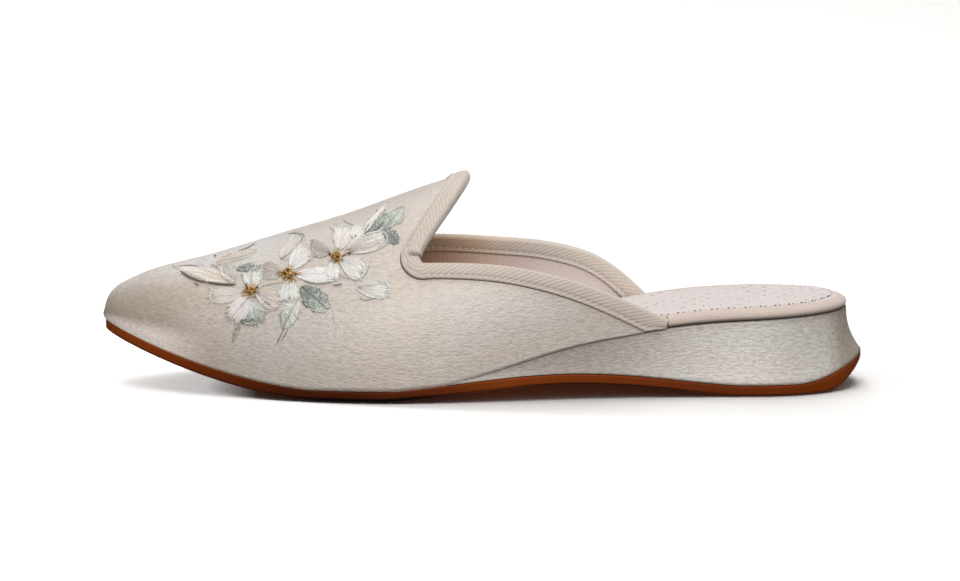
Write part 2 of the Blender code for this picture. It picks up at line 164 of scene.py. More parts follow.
# Height of the wall's collar edge, in shares of the instep height, along the run from throat to collar end
Collar = namedtuple("Collar", "run lateral medial")
COLLAR = [
    Collar(0.00, 0.634, 0.645),
    Collar(0.15, 0.636, 0.645),
    Collar(0.35, 0.621, 0.635),
    Collar(0.50, 0.587, 0.624),
    Collar(0.65, 0.534, 0.594),
    Collar(0.77, 0.477, 0.547),
    Collar(0.87, 0.422, 0.474),
    Collar(0.95, 0.377, 0.395),
    Collar(1.00, 0.349, 0.341),
]

SIDES = {"lateral": -1, "medial": 1}

# Mesh of the upper: rows from the toe and along each side, lines up the side and over the tongue
NOSE = 0.0003
VAMP_ROWS = 120
VAMP_SPACING = 1.5
SIDE_ROWS = 90
SIDE_SPACING = 1.3
SIDE_LINES = 40
TONGUE_LINES = 50
TONGUE_SPACING = 1.4
GIRTH_STEPS = 13

# The toe's tints are painted light and shade: highlights on the ridge and low at the tip, warm shade between.
# Tints of the toe. Each zone starts at its first value and is full at its second: along, or shares round
TOE_WARM_ZONE = (0.075, 0.0)
TOE_TIP_ZONE = (0.040, 0.018)
TOE_RIDGE_ZONE = (0.075, 0.045)
SIDE_ZONE = (0.0, 0.6)
LOW_ZONE = (0.76, 0.92)
TOE_LOW_HIGHLIGHT = 0.66
TOE_MIDDLE_SHADE = 0.17
TOE_WARM_SHADE = np.array((0.07, 0.13, 0.21))
TOE_RIDGE_HIGHLIGHT = np.array((0.14, 0.20, 0.29))

# Soft folds of the upper, from one place to another on the flat cloth: along, and girth from the ridge
FOLD_ENDS = 0.35
FOLD_RIDGES = 0.6
Fold = namedtuple("Fold", "start end width depth")
FOLDS = [
    Fold((0.083, -0.030), (0.104, -0.036), 0.0016, 0.00030),
    Fold((0.086, -0.035), (0.106, -0.0385), 0.0014, 0.00022),
    Fold((0.080, -0.025), (0.101, -0.032), 0.0015, 0.00018),
    Fold((0.010, -0.007), (0.034, -0.016), 0.0011, 0.00022),
    Fold((0.014, -0.010), (0.036, -0.019), 0.0010, 0.00017),
    Fold((0.083, 0.031), (0.104, 0.037), 0.0016, 0.00028),
    Fold((0.079, 0.026), (0.101, 0.033), 0.0015, 0.00018),
]

# Binding: step along the collar, ribs of its twill, and the shape of a leg from the fold to its free end
BINDING_STEP = 0.00028
COLLAR_FINE = 2000
WALK_STEPS = 32
LEG_POINTS = 26
FOLD_POINTS = 21
RIB_PITCH = 0.00118
RIB_DEPTH = 0.00007
RIB_ANGLE = math.radians(34)
STITCH_PLACE = 0.74
STITCH_GROOVE = 0.00040
LIP_PLACE = 0.90
LIP_RISE = 0.00034
SEWN_WIDTH = 0.07
LEG_PUFF = 0.00018
TUCK = 0.00006
# The dark cord of painted shadow beside each leg's free end, and how much thicker it is at the corners
SHADOW_CORD_THICK = 0.00024
CORNER_SHADOW = 0.9
CORNER_REACH = 0.0042
CORNER_SPREAD = 0.16
PLEAT_PLACE = 0.0007
PLEAT_WIDTH = 0.0005
PLEAT_DEPTH = 0.00065
PLEAT_WELT = 0.45
WELT_WIDTH = 2 * PLEAT_WIDTH
WELT_PLACE = PLEAT_PLACE + 2.5 * PLEAT_WIDTH
PLEAT_ZONE = (0.75, 0.25)
FAR_TIP_SHORTER = 0.28
FAR_TIP_END = 0.7
STITCH_PITCH = 0.0023
STITCH_LENGTH = 0.0018
STITCH_THICK = 0.00024
STITCH_SUNK = 0.3
TAPE_STITCH_POINTS = 7

# These tints are painted: shade in rib gaps and pleats, and on the far inner leg brown shade, then paler
# light
# Tints of the tape: ribs, pleats, and the inner leg behind the throat's far corner, brown and then pale
RIB_SHADE = 0.93
RIB_CONTRAST = 0.09
RIB_WARMTH = 0.08
PLEAT_SHADE = 0.6
FAR_CORNER = 0.05
INNER_LEG_ZONE = (0.4, 0.8)
TAPE_BROWN_ZONE = (0.143, 0.118)
TAPE_PALE_ZONE = (0.142, 0.162)
TAPE_PALE_LIGHT = 0.12
TAPE_WARM_SHADE = np.array((0.02, 0.23, 0.41))
TAPE_STITCH = (0.62, 0.55, 0.48)

# Insole: recessed seam, rolled edge, rows of its mesh, and the beige band out to the row of stitches
SEAM_INSET = 0.0012
NECK = 0.09
WAIST = 0.40
# How far up the painted shade in the recessed seam fades, and how fast
SEAM_FADE = 0.85 * WAIST
SEAM_FADE_POWER = 1.4
ROLL_FRONT = 0.0028
ROLL_BACK = 0.0062
ROLL_POINTS = 9
TOP_POINTS = 60
INSOLE_SPACING = 1.25
STEP_REACH = 0.002
STEP_ROWS = 14
CLOSEST_ROWS = 3e-5
TOE_FIT = 0.15
TOE_FIT_REACH = 0.020
EASE = 0.003
EDGE_LEVEL = 0.95
ROLL_ZONE = (0.195, 0.240)
CROWN_REACH = 0.022
EDGE_ROW_INSET = 0.0047
BAND_END = 0.0053
BAND_ROWS = np.array((-0.0006, -0.0002, 0.0002))
BAND_CLEAR = 0.0002
BAND_ZONE = (0.228, 0.246)
BAND_NARROWER = 0.3
BEIGE = (0.90, 0.83, 0.75)
# Colour of the painted shade deep in the recessed seam
SEAM_RECESS_SHADE = (0.05, 0.032, 0.022)

# Stitches of the insole: the row round its edge, dark on the lateral side, and the uneven quilting
EDGE_ROW_DEPTH = 0.00022
EDGE_ROW_WIDTH = 0.0007
EDGE_ROW_ZONE = (0.239, 0.231)
EDGE_STITCH_PITCH = 0.0055
EDGE_STITCH_ENDS = 0.012
EDGE_STITCH_SUNK = 0.5
FLAT_STITCH_POINTS = 6
DARK_STITCH_END = 0.241
PALE_STITCH = (0.48, 0.42, 0.40)
FAR_STITCH = (0.57, 0.51, 0.48)
EdgeStitch = namedtuple("EdgeStitch", "start length thick colour")
EDGE_STITCHES = [
    EdgeStitch(-0.0013, 0.0010, 0.00027, (0.09, 0.060, 0.046)),
    EdgeStitch(0.0005, 0.0009, 0.00023, (0.14, 0.10, 0.078)),
    EdgeStitch(0.0021, 0.0013, 0.00016, PALE_STITCH),
]
QUILT_ROW = 0.0046
QUILT_ROWS = 9
QUILT_PITCH = 0.0062
QUILT_DEPTH = 0.00022
QUILT_FADE = 0.003
QUILT_MARGIN = 0.0022
QUILT_SEED = 5
QUILT_SHIFT = 0.00035
QUILT_HALF = (0.0004, 0.0011)
QUILT_SHADE = (0.7, 1.2)
QUILT_THICK = 0.00017
QUILT_SUNK = 0.4

# Wedge and outsole meshes
WEDGE_LEVELS = 28
STRAIGHT_ROWS = 110
BACK_ROWS = 40
BACK_FACET = math.radians(1.5)
# A dark cord of painted shade along the upper's join with the wedge: its start, thickness and thinner front
WEDGE_SEAM_START = 0.1220
WEDGE_SEAM_THICK = 0.00030
WEDGE_SEAM_FRONT = 0.45
SEAM_POINTS = 160
OUTSOLE_TOE = 0.02
OUTSOLE_TOE_ROWS = 40
OUTSOLE_TOE_SPACING = 1.8
OUTSOLE_ROW = 0.00055
OUTSOLE_SIDE_POINTS = 15
OUTSOLE_SIDE_SPACING = 1.5
UNDERCUT = 0.0014
UNDERCUT_LEVEL = 0.30
UNDERCUT_POWER = 2.2
TREAD_POINTS = 44
TREAD_PITCH = 0.0046
TREAD_SLANT = 0.35
TREAD_GROOVE = 0.28
TREAD_WALL = 0.12
TREAD_DEPTH = 0.00055
TREAD_DEEPEST = 0.4
TREAD_MARGIN = 0.0045
TREAD_BORDER = 0.0012
TREAD_TOE = (0.016, 0.022)
TREAD_WAIST = (0.112, 0.118, 0.192, 0.198)

# Colour of the dark cords of painted shadow beside the tape's free ends and along the upper's join with the
# wedge
SEAM_SHADE = (0.12, 0.094, 0.078)
# Painted shade on the wedge: dark at its top and foot joins, warmer and darker towards its front and back
JOIN_REACH = 0.05
TOP_JOIN_SHADE = 0.40
FOOT_JOIN_SHADE = 0.30
JOIN_SHADE_TINT = (1.0, 1.1, 1.2)
WEDGE_FRONT_ZONE = (0.210, 0.155)
WEDGE_BACK_ZONE = (0.238, 0.246)
WEDGE_FRONT_SHADE = np.array((0.47, 0.50, 0.53))
WEDGE_BACK_SHADE = np.array((0.36, 0.43, 0.50))

# Painted shade low on the sole's edge, darkest under the forefoot and the arch, and a painted highlight on
# its rim
FOREFOOT_ZONE = (0.048, 0.078, 0.100, 0.130)
ARCH_ZONE = (0.130, 0.150, 0.180, 0.205)
SOLE_SHADE = 0.10
FOREFOOT_SOLE_SHADE = 0.84
ARCH_SOLE_SHADE = 0.70
SOLE_SHADE_LEVEL = 0.36
SOLE_SHADE_BLUR = 0.20
RIM_HIGHLIGHT_ZONE = (0.65, 1.0)
RIM_HIGHLIGHT = 0.25
SOLE_WARMTH = 0.1

# Painted light and shade on the sole's edge: orange at the toe, dark under the forefoot, brown from the arch
# back
Tone = namedtuple("Tone", "station shade")
SOLE_LIGHT_AND_SHADE = [
    Tone(0.00, 0.90),
    Tone(0.06, 0.80),
    Tone(0.14, 0.48),
    Tone(0.24, 0.20),
    Tone(0.34, 0.18),
    Tone(0.44, 0.40),
    Tone(0.53, 0.72),
    Tone(0.64, 0.62),
    Tone(0.80, 0.46),
    Tone(0.93, 0.56),
    Tone(1.00, 0.80),
]

# Camera, at the photo's angle, and the photo's frame in pixels
FRAME_WIDTH = 960
FRAME_HEIGHT = 581
LENS = 146.8
SENSOR = 36.0
CAMERA_TARGET = np.array((-0.0008, 0.0, 0.0307))
CAMERA_DISTANCE = 1.300
CAMERA_ELEVATION = math.radians(9.0)

# Embroidery: threads, and how far the work stands off the cloth
THREAD_PIXELS = 1.1
THREAD_WIDE = (0.00010, 0.00038)
THREAD_HIGH = 0.00010
THREAD_SHARE = 0.72
THREAD_SIDES = 5
PAD_RISE = 0.00012
PAD_ENDS = (0.02, 0.98)
PAD_POWER = 0.6
LAYER_RISE = 0.00008
EDGE_THICK = 0.00016
EDGE_TURN = 0.97
EDGE_POINTS = 48
STAMENS = 22
STAMEN_REACH = (1.1, 2.1)
STAMEN_THICK = 0.00017
STAMEN_LAYER = 3
STAMEN_BEADS = 4
STEM_PITCH = 0.0013
STEM_SWELL = 0.22
STITCH_POINTS = 8
CORD_POINTS = 60
CORD_LIFT = 0.4
PETAL_BASE = 0.75
PETAL_ROUND = 0.8
FAN_DENSITY = 2.2
FAN_TURN = 0.93
FAN_STARTS = (0.34, 0.10)
FAN_RAGGED = 0.075
RIB_DENSITY = 1.1
RIB_ROOTS = (0.02, 0.97)
RIB_LEAN = 0.13
RIB_RAGGED = 0.10
MOTTLING = {"fan": 0.26, "rib": 0.28}
FADE = 0.5
FADE_ZONE = (0.72, 1.0)
LOOSE_STITCHES = 36
LOOSE_TURN = 0.9
LOOSE_REACH = (0.5, 1.1)
LOOSE_HALF = (0.6, 2.0)
LOOSE_THICKER = 1.3
BEAD = 0.00040
BEAD_SIZES = (0.75, 1.2)
BEAD_RINGS = 7
BEAD_SIDES = 8
BEAD_POLE = 0.12
BEAD_SCATTER = 0.9
BEAD_RISE = 0.0006
HEAP_RISE = 0.0009
BEAD_METALS = {"gold": 0.45, "brass": 0.2, "bronze": 0.35}

# Thread and bead colours, linear
THREADS = {
    "snow": (0.67, 0.655, 0.63),
    "pearl": (0.555, 0.53, 0.50),
    "veil": (0.445, 0.405, 0.37),
    "blush": (0.58, 0.52, 0.51),
    "cream": (0.59, 0.535, 0.455),
    "peach": (0.50, 0.415, 0.35),
    "taupe": (0.335, 0.30, 0.262),
    "mist": (0.50, 0.53, 0.485),
    "mint": (0.38, 0.43, 0.375),
    "sage": (0.225, 0.258, 0.222),
    "pine": (0.105, 0.123, 0.108),
    "stone": (0.30, 0.275, 0.245),
    "bark": (0.245, 0.185, 0.14),
    "umber": (0.115, 0.083, 0.060),
    "gold": (0.40, 0.20, 0.045),
    "brass": (0.62, 0.43, 0.18),
    "bronze": (0.10, 0.05, 0.015),
}

# Petals and leaves, in photo pixels: from base to tip, full width, sideways bow, sharpness of the tip,
# thread colours from base to tip, colour of a sewn outline, and layer
Motif = namedtuple("Motif", "stitch base tip width bend point shades edge layer")
LEAVES = [
    Motif("fan", (236, 284.5), (178, 267.5), 14, 1.5, 0.75, ("cream", "peach", "cream", "snow"), None, 0),
    Motif("fan", (258, 250), (216, 263.5), 9, 0.5, 0.80, ("peach", "veil", "peach"), None, 0),
    Motif("fan", (234, 284), (227, 264), 12, 0.0, 0.45, ("taupe", "veil", "veil"), None, 0),
    Motif("rib", (240, 325), (233, 342), 5, 1.0, 0.85, ("bark", "veil", "taupe"), None, 0),
    Motif("rib", (298, 300), (283, 329), 19, 1.0, 0.70, ("mist", "snow", "mint", "taupe"), None, 0),
    Motif("rib", (300.5, 286.5), (327.5, 310), 21, 0.0, 0.50, ("pine", "sage", "sage", "mist"), None, 1),
    Motif("rib", (364, 235.5), (386.5, 212.5), 13, 0.0, 0.70, ("pine", "sage", "sage"), None, 0),
    Motif("rib", (383, 228.5), (397.5, 243), 13, 0.0, 0.55, ("sage", "pine", "sage"), None, 1),
    Motif("rib", (384, 228.5), (402, 209.5), 13, 0.0, 0.65, ("sage", "mint", "mist"), None, 1),
    Motif("fan", (362, 235), (388, 204), 6, -1.5, 0.70, ("snow", "cream"), None, 0),
    Motif("rib", (236, 269), (260, 266.5), 8, 0.0, 0.60, ("sage", "pine", "sage", "mist"), None, 2),
    Motif("rib", (240, 321), (260, 322.5), 7, 0.0, 0.60, ("pine", "sage", "mint"), None, 3),
]
PETALS = [
    Motif("fan", (244, 294), (210.5, 296), 16, 0.0, 0.35, ("veil", "pearl", "cream"), "snow", 0),
    Motif("fan", (252, 289), (252, 270), 20, 0.0, 0.35, ("veil", "snow", "mist"), None, 1),
    Motif("fan", (251, 299), (260, 323), 18, 0.0, 0.35, ("snow", "mist", "mint", "sage"), None, 1),
    Motif("fan", (249, 297), (231, 320), 21, 0.0, 0.35, ("blush", "snow", "blush"), None, 2),
    Motif("fan", (256, 294), (280, 302), 20, 0.0, 0.40, ("blush", "veil", "cream"), "cream", 1),
    Motif("fan", (281, 261), (300, 234.5), 18, 0.0, 0.40, ("peach", "pearl", "veil"), "pearl", 0),
    Motif("fan", (284, 273), (262, 270), 17, 0.0, 0.35, ("taupe", "veil", "taupe"), "pearl", 0),
    Motif("fan", (290, 270), (308, 245), 21, 0.0, 0.35, ("pearl", "snow", "blush"), None, 1),
    Motif("fan", (295, 275), (335, 275.5), 16, 0.0, 0.35, ("blush", "snow", "snow"), None, 1),
    Motif("fan", (289, 281), (289, 302), 21, 0.0, 0.35, ("mist", "snow", "mist"), None, 2),
    Motif("fan", (331, 253.5), (308, 247), 17, 0.0, 0.35, ("taupe", "taupe", "taupe"), None, 1),
    Motif("fan", (347, 246), (361, 225), 13, 0.0, 0.40, ("cream", "snow"), None, 0),
    Motif("fan", (339, 251), (344, 226), 18, 0.0, 0.35, ("cream", "blush", "snow"), None, 1),
    Motif("fan", (344, 252), (387, 237), 18, 0.0, 0.40, ("taupe", "veil", "veil", "snow"), "snow", 1),
    Motif("fan", (335, 261), (331, 280), 14, 0.0, 0.35, ("blush", "snow", "snow"), None, 2),
    Motif("fan", (340, 259), (365, 274), 21, 0.0, 0.35, ("mist", "pearl", "snow"), "snow", 2),
    Motif("fan", (356, 288), (390, 290.5), 18, 0.0, 0.40, ("veil", "pearl", "snow"), "snow", 0),
]

# Sewn lines, through photo pixels
Stroke = namedtuple("Stroke", "colour thick layer route")
STROKES = [
    Stroke("umber", 0.00036, 2, ((181, 272), (187, 276), (193, 279), (200, 281.5), (208, 283))),
    Stroke("umber", 0.00042, 2, ((208, 283), (216, 284), (224, 285), (236, 285))),
    Stroke("stone", 0.00014, 1, ((178, 267), (189, 265.8), (200, 267))),
    Stroke("peach", 0.00018, 1, ((213, 266), (219, 269), (221, 275), (226, 280), (232, 284))),
    Stroke("umber", 0.00020, 0, ((194, 283.2), (196.5, 284.3), (199, 285.6))),
    Stroke("peach", 0.00016, 1, ((217, 263), (232, 259), (245, 256), (256, 251))),
    Stroke("bark", 0.00018, 1, ((239, 251.5), (246, 249), (250, 247), (255, 244))),
    Stroke("umber", 0.00030, 1, ((214.6, 256.8), (215.5, 256.5), (216.4, 256.4))),
    Stroke("pearl", 0.00018, 2, ((256, 309), (264, 311.5), (272, 310.5), (279, 306))),
    Stroke("umber", 0.00022, 2, ((265.4, 302), (266.5, 302.6), (267.6, 303.2))),
    Stroke("umber", 0.00022, 2, ((268.6, 304), (269.6, 304.6), (270.4, 305))),
    Stroke("cream", 0.00018, 1, ((262, 286), (274, 283.4), (285, 282))),
    Stroke("bark", 0.00014, 1, ((236, 327), (234.6, 334), (233, 341))),
    Stroke("pine", 0.00024, 4, ((241, 321.2), (242, 321.6), (243, 321.6))),
    Stroke("pine", 0.00026, 4, ((251.6, 320.4), (253, 320), (254.4, 319.6))),
    Stroke("stone", 0.00018, 1, ((288, 234.5), (296, 233.8), (304, 235), (302, 240), (296, 247))),
    Stroke("stone", 0.00018, 1, ((296, 247), (292, 252), (285, 257), (280, 259.5))),
    Stroke("sage", 0.00018, 2, ((305, 282), (318, 284), (333, 282))),
    Stroke("stone", 0.00018, 1, ((281, 312), (281, 317), (282, 322))),
    Stroke("bark", 0.00018, 1, ((285, 325), (281, 335), (277, 343))),
    Stroke("bark", 0.00014, 1, ((288, 330), (285, 335), (282, 340))),
    Stroke("umber", 0.00022, 2, ((302, 301), (304.6, 304.6), (308, 308))),
    Stroke("pearl", 0.00018, 1, ((313, 310), (317, 311.4), (322, 312))),
    Stroke("cream", 0.00020, 1, ((328, 300), (332, 307), (334, 315), (335, 323))),
    Stroke("cream", 0.00018, 1, ((344, 219), (348, 223), (355, 225))),
    Stroke("cream", 0.00016, 2, ((330, 227), (336, 234), (336, 243))),
    Stroke("umber", 0.00022, 2, ((351.8, 238.8), (352.5, 238.5), (353.2, 238.2))),
    Stroke("umber", 0.00022, 2, ((355.2, 237), (356, 236.5), (356.8, 236.2))),
    Stroke("snow", 0.00020, 2, ((360, 238), (370, 234), (380, 232))),
    Stroke("snow", 0.00020, 2, ((362, 254), (375, 250), (384, 242))),
    Stroke("pine", 0.00018, 1, ((366, 236), (376, 230), (384, 222))),
    Stroke("peach", 0.00018, 2, ((391, 213), (400, 208), (405, 207))),
    Stroke("peach", 0.00016, 2, ((398, 225), (403, 220), (404, 213))),
    Stroke("snow", 0.00024, 3, ((360, 262), (365, 270), (362, 277), (352, 280))),
    Stroke("cream", 0.00020, 3, ((338, 273), (344, 276.6), (350, 279))),
    Stroke("bark", 0.00020, 1, ((333, 285), (337, 285.4), (342, 284))),
    Stroke("snow", 0.00018, 1, ((378, 282.6), (387, 285), (390, 291), (384, 297))),
    Stroke("stone", 0.00014, 1, ((360, 298.4), (366, 300), (378, 297.6))),
]

# Beads at the flowers' middles, in photo pixels
Cluster = namedtuple("Cluster", "centre size beads stamens")
CLUSTERS = [
    Cluster((251.0, 292.0), (10, 9), 30, ((262, 287.5), (245, 284))),
    Cluster((288.0, 275.5), (11, 11), 36, ((302, 273), (289, 268))),
    Cluster((336.8, 258.4), (8, 10), 28, ((355, 251.6), (327, 252), (343, 257))),
]

# Floor, and softboxes that light everything, all but the floor (EXCLUDE) or the floor alone (INCLUDE)
FLOOR_RINGS = np.array((0.02, 0.3, 1.0, 3.0, 8.0))
FLOOR_SIDES = 64
FLOOR_DROP = 0.0002
WORLD_COLOUR = (1.0, 0.93, 0.86, 1.0)
WORLD_STRENGTH = 0.26
Softbox = namedtuple("Softbox", "name location target width height power floor_link")
SOFTBOXES = [
    Softbox("top_softbox", (0.0, 0.9, 1.5), (0, 0.9, 0), 1.0, 3.8, 37.0, None),
    Softbox("front_softbox", (0.05, -1.7, 0.82), (0, 0, 0.03), 1.2, 0.8, 27.0, "EXCLUDE"),
    Softbox("toe_softbox", (-0.45, 0.09, 0.16), (-0.1, 0, 0), 0.06, 0.06, 2.0, "INCLUDE"),
    Softbox("floor_softbox", (0.0, 0.9, 1.5), (0, 0.9, 0), 1.0, 3.8, 8.0, "INCLUDE"),
]

WHITE = (1.0, 1.0, 1.0)


def spline(keys, values):
    """A natural cubic spline through the values, as a function of the key."""
    keys = np.asarray(keys, float)
    values = np.asarray(values, float)
    gaps = np.diff(keys)
    slopes = np.diff(values) / gaps
    system = np.eye(len(keys))
    turn = np.zeros(len(keys))
    for i in range(1, len(keys) - 1):
        system[i, i - 1 : i + 2] = gaps[i - 1], 2 * (gaps[i - 1] + gaps[i]), gaps[i]
        turn[i] = 6 * (slopes[i] - slopes[i - 1])
    bend = np.linalg.solve(system, turn)

    def curve(key):
        key = np.clip(key, keys[0], keys[-1])
        i = np.clip(np.searchsorted(keys, key, side="right") - 1, 0, len(gaps) - 1)
        after, before = key - keys[i], keys[i + 1] - key
        cubic = (bend[i] * before**3 + bend[i + 1] * after**3) / (6 * gaps[i])
        left = (values[i] / gaps[i] - bend[i] * gaps[i] / 6) * before
        right = (values[i + 1] / gaps[i] - bend[i + 1] * gaps[i] / 6) * after
        return cubic + left + right

    return curve


def last_column(name, scale):
    """One column of the last's sections. It runs on the root of the station, which rounds the toe."""
    curve = spline([math.sqrt(row.station) for row in LAST], [getattr(row, name) for row in LAST])
    return lambda along: scale * curve(np.sqrt(np.maximum(along, 0) / LENGTH))


HALF = {side: last_column(side, BALL_WIDTH) for side in SIDES}
RIDGE = last_column("ridge", INSTEP_HEIGHT)
SHIFT = last_column("shift", BALL_WIDTH)
FULLNESS = last_column("fullness", 1.0)
RAMP = spline([row.station for row in WEDGE_TOP], [row.top for row in WEDGE_TOP])
COLLAR_LINE = {
    side: spline([row.run for row in COLLAR], [getattr(row, side) for row in COLLAR]) for side in SIDES
}
WIDEST = {side: max(getattr(row, side) for row in LAST) * BALL_WIDTH for side in SIDES}
CENTRE_Y = (WIDEST["medial"] - WIDEST["lateral"]) / 2


def place(along, across, height):
    """World point of a place: from the toe, from the last's axis to the inner side, and from the floor."""
    return np.stack(np.broadcast_arrays(along - LENGTH / 2, across - CENTRE_Y, height), axis=-1)


def unit(vectors):
    return vectors / np.linalg.norm(vectors, axis=-1, keepdims=True)


def smooth(share):
    """An even rise from 0 to 1 over shares from 0 to 1."""
    share = np.clip(share, 0, 1)
    return share * share * (3 - 2 * share)


def onset(value, start, full):
    """An even rise from 0 at the start to 1 where it is full, which may also lie below the start."""
    return smooth((value - start) / (full - start))


def hump(value, start, full, fading, end):
    """A rise from the start to where it is full, and a fall from where it is fading to the end."""
    return onset(value, start, full) * onset(value, end, fading)


def bell(distance, width):
    return np.exp(-((distance / width) ** 2))


def circle(count):
    """Even steps round a circle."""
    return 2 * math.pi * np.arange(count) / count


def run_along(lines):
    """Length along each line of points, from its first point."""
    steps = np.diff(lines, axis=-2, prepend=lines[..., :1, :])
    return np.linalg.norm(steps, axis=-1).cumsum(axis=-1)


def follow(at, run, line):
    """Each column of a line's values, where its run has reached these lengths."""
    return np.stack([np.interp(at, run, column) for column in line.T], axis=-1)


def warmed(shade, warmth):
    """A tint of these shades, which is warmer where it is darker."""
    return np.stack([shade, shade ** (1 + warmth), shade ** (1 + 2 * warmth)], axis=-1)


def rounded_end(left_over, reach):
    """Share of the full width, this far before a back that is rounded over its last reach."""
    t = np.clip(left_over / reach, 0, 1)
    return np.sqrt(1 - (1 - t) ** 2)


def towards_back(along, start):
    """A rise from 0 at the start to 1 at the very back."""
    return np.clip((along - start) / (LENGTH - start), 0, 1) ** BACK_POWER


def outsole_bottom(along):
    """Height of the outsole's underside: zero on the forefoot and heel flats."""
    toe = TOE_SPRING * np.clip(1 - along / FOREFOOT_FLAT[0], 0, 1) ** TOE_SPRING_POWER
    through_arch = np.clip((along - FOREFOOT_FLAT[1]) / (HEEL_FLAT[0] - FOREFOOT_FLAT[1]), 0, 1)
    arch = ARCH_RISE * np.abs(np.sin(math.pi * through_arch)) ** ARCH_POWER
    return toe + np.where(through_arch < 1, arch, 0) + BACK_LIFT * towards_back(along, HEEL_FLAT[1])


def outsole_thickness(along):
    """The upper edge starts to rise before the underside does, and less steeply."""
    even = OUTSOLE_TOE_THICKNESS + (OUTSOLE_HEEL_THICKNESS - OUTSOLE_TOE_THICKNESS) * along / LENGTH
    edge = BACK_EDGE_LIFT * towards_back(along, BACK_EDGE_START)
    return even + edge - BACK_LIFT * towards_back(along, HEEL_FLAT[1])


def outsole_top(along):
    return outsole_bottom(along) + outsole_thickness(along)


def wedge_top(along):
    return HEEL_HEIGHT * RAMP(along / LENGTH)


def seat(along):
    """What the upper and the insole stand on: the outsole in front, the wedge behind."""
    return np.maximum(outsole_top(along), wedge_top(along)) + GAP


def insole_thickness(along):
    return INSOLE_TOE_THICKNESS + (INSOLE_HEEL_THICKNESS - INSOLE_TOE_THICKNESS) * along / LENGTH


def widens(along, side):
    """How fast the last's half width grows along the length."""
    step = 1e-5
    return (HALF[side](along + step) - HALF[side](along)) / step


def last_half(along, side):
    """Half width of the last's sole line, closed by the round back."""
    return HALF[side](along) * rounded_end(LAST_END - along, LAST_BACK_ROUND)


def outsole_half(along, side):
    margin = BALL_MARGIN + (HEEL_FLARE - BALL_MARGIN) * np.clip(along / LENGTH, 0, 1) ** 2
    at_toe = np.clip(along / FOREFOOT_FLAT[0], 0, 1)
    half = HALF[side](along - OUTSOLE_TOE_INSET * (1 - at_toe)) + margin * np.sqrt(at_toe)
    return half * rounded_end(LENGTH - along, OUTSOLE_BACK_ROUND)


def last_point(along, round_share):
    """Outer surface of the upper."""
    along, round_share = np.broadcast_arrays(np.asarray(along, float), np.asarray(round_share, float))
    side = np.where(round_share < 0, -1.0, 1.0)
    angle = (1 - np.abs(round_share)) * math.pi / 2
    power = 2 / FULLNESS(along)
    half = np.where(side < 0, HALF["lateral"](along), HALF["medial"](along))
    widening = np.where(side < 0, widens(along, "lateral"), widens(along, "medial"))
    low = seat(along) - GAP
    rise = np.maximum(RIDGE(along) - low, 0)
    reach = half - side * SHIFT(along)
    across = SHIFT(along) + side * reach * np.cos(angle) ** power
    height = low + rise * np.sin(angle) ** power
    swell = np.sin(math.pi * np.clip((1 - np.abs(round_share)) / BULGE_REACH, 0, 1))
    bulge = BULGE * swell * rise / (rise + BULGE_HEIGHT)
    facing = np.hypot(widening, 1)
    return place(along - bulge * widening / facing, across + side * bulge / facing, height)


def last_slopes(along, round_share):
    """The surface's two slopes and its outward normal."""
    step_along, step_round = 2e-5, 2e-3
    first = last_point(along + step_along, round_share) - last_point(along - step_along, round_share)
    inner = np.clip(np.asarray(round_share, float) - step_round, -1, 1)
    outer = np.clip(np.asarray(round_share, float) + step_round, -1, 1)
    second = last_point(along, outer) - last_point(along, inner)
    first = first / (2 * step_along)
    second = second / (outer - inner)[..., None]
    return first, second, unit(np.cross(first, second))


def girth(along, round_share):
    """Length round the section from the ridge, negative on the lateral side."""
    steps = np.linspace(0, 1, GIRTH_STEPS)
    points = last_point(along[..., None], round_share[..., None] * steps)
    lengths = np.linalg.norm(np.diff(points, axis=-2), axis=-1).sum(axis=-1)
    return np.sign(round_share) * lengths


def share_at_height(along, side, height):
    """The round_share at which a section's wall reaches this height."""
    rise = (height - seat(along)) / (RIDGE(along) - seat(along))
    angle = np.arcsin(np.clip(rise, 0, 1) ** (FULLNESS(along) / 2))
    return SIDES[side] * (1 - angle / (math.pi / 2))


def collar_height(along, side):
    """Height of the wall's edge along the side, with the round corner of the throat notch."""
    run = (along - THROAT) / (COLLAR_END[side] - THROAT)
    from_corner = THROAT_RADIUS - np.clip(along - THROAT, 0, THROAT_RADIUS)
    corner = THROAT_RADIUS - np.sqrt(THROAT_RADIUS**2 - from_corner**2)
    return INSTEP_HEIGHT * COLLAR_LINE[side](run) + corner


def collar_stop(side):
    """Station at which the cloth and the tape of a side are cut off."""
    return COLLAR_END[side] - COLLAR_TRIM


def side_top(along, side):
    """round_share of the collar's edge on one side."""
    return share_at_height(along, side, collar_height(along, side))


THROAT_SHARE = {side: float(side_top(np.array(THROAT), side)) for side in SIDES}


def tongue_edge(round_share):
    """Station of the tongue's back edge, from the throat's corner up to the tip on the ridge."""
    round_share = np.asarray(round_share, float)
    corner = np.where(round_share < 0, -THROAT_SHARE["lateral"], THROAT_SHARE["medial"])
    longest = math.sqrt((TONGUE_TIP - THROAT + THROAT_RADIUS) ** 2 - THROAT_RADIUS**2)
    reach = longest * (1 - np.clip(np.abs(round_share) / corner, 0, 1) ** TONGUE_POWER)
    return THROAT + np.hypot(reach, THROAT_RADIUS) - THROAT_RADIUS


def spaced(count, power):
    """Shares from 0 to 1 that lie closer together near 0."""
    return (np.arange(count + 1) / count) ** power


# Meshes


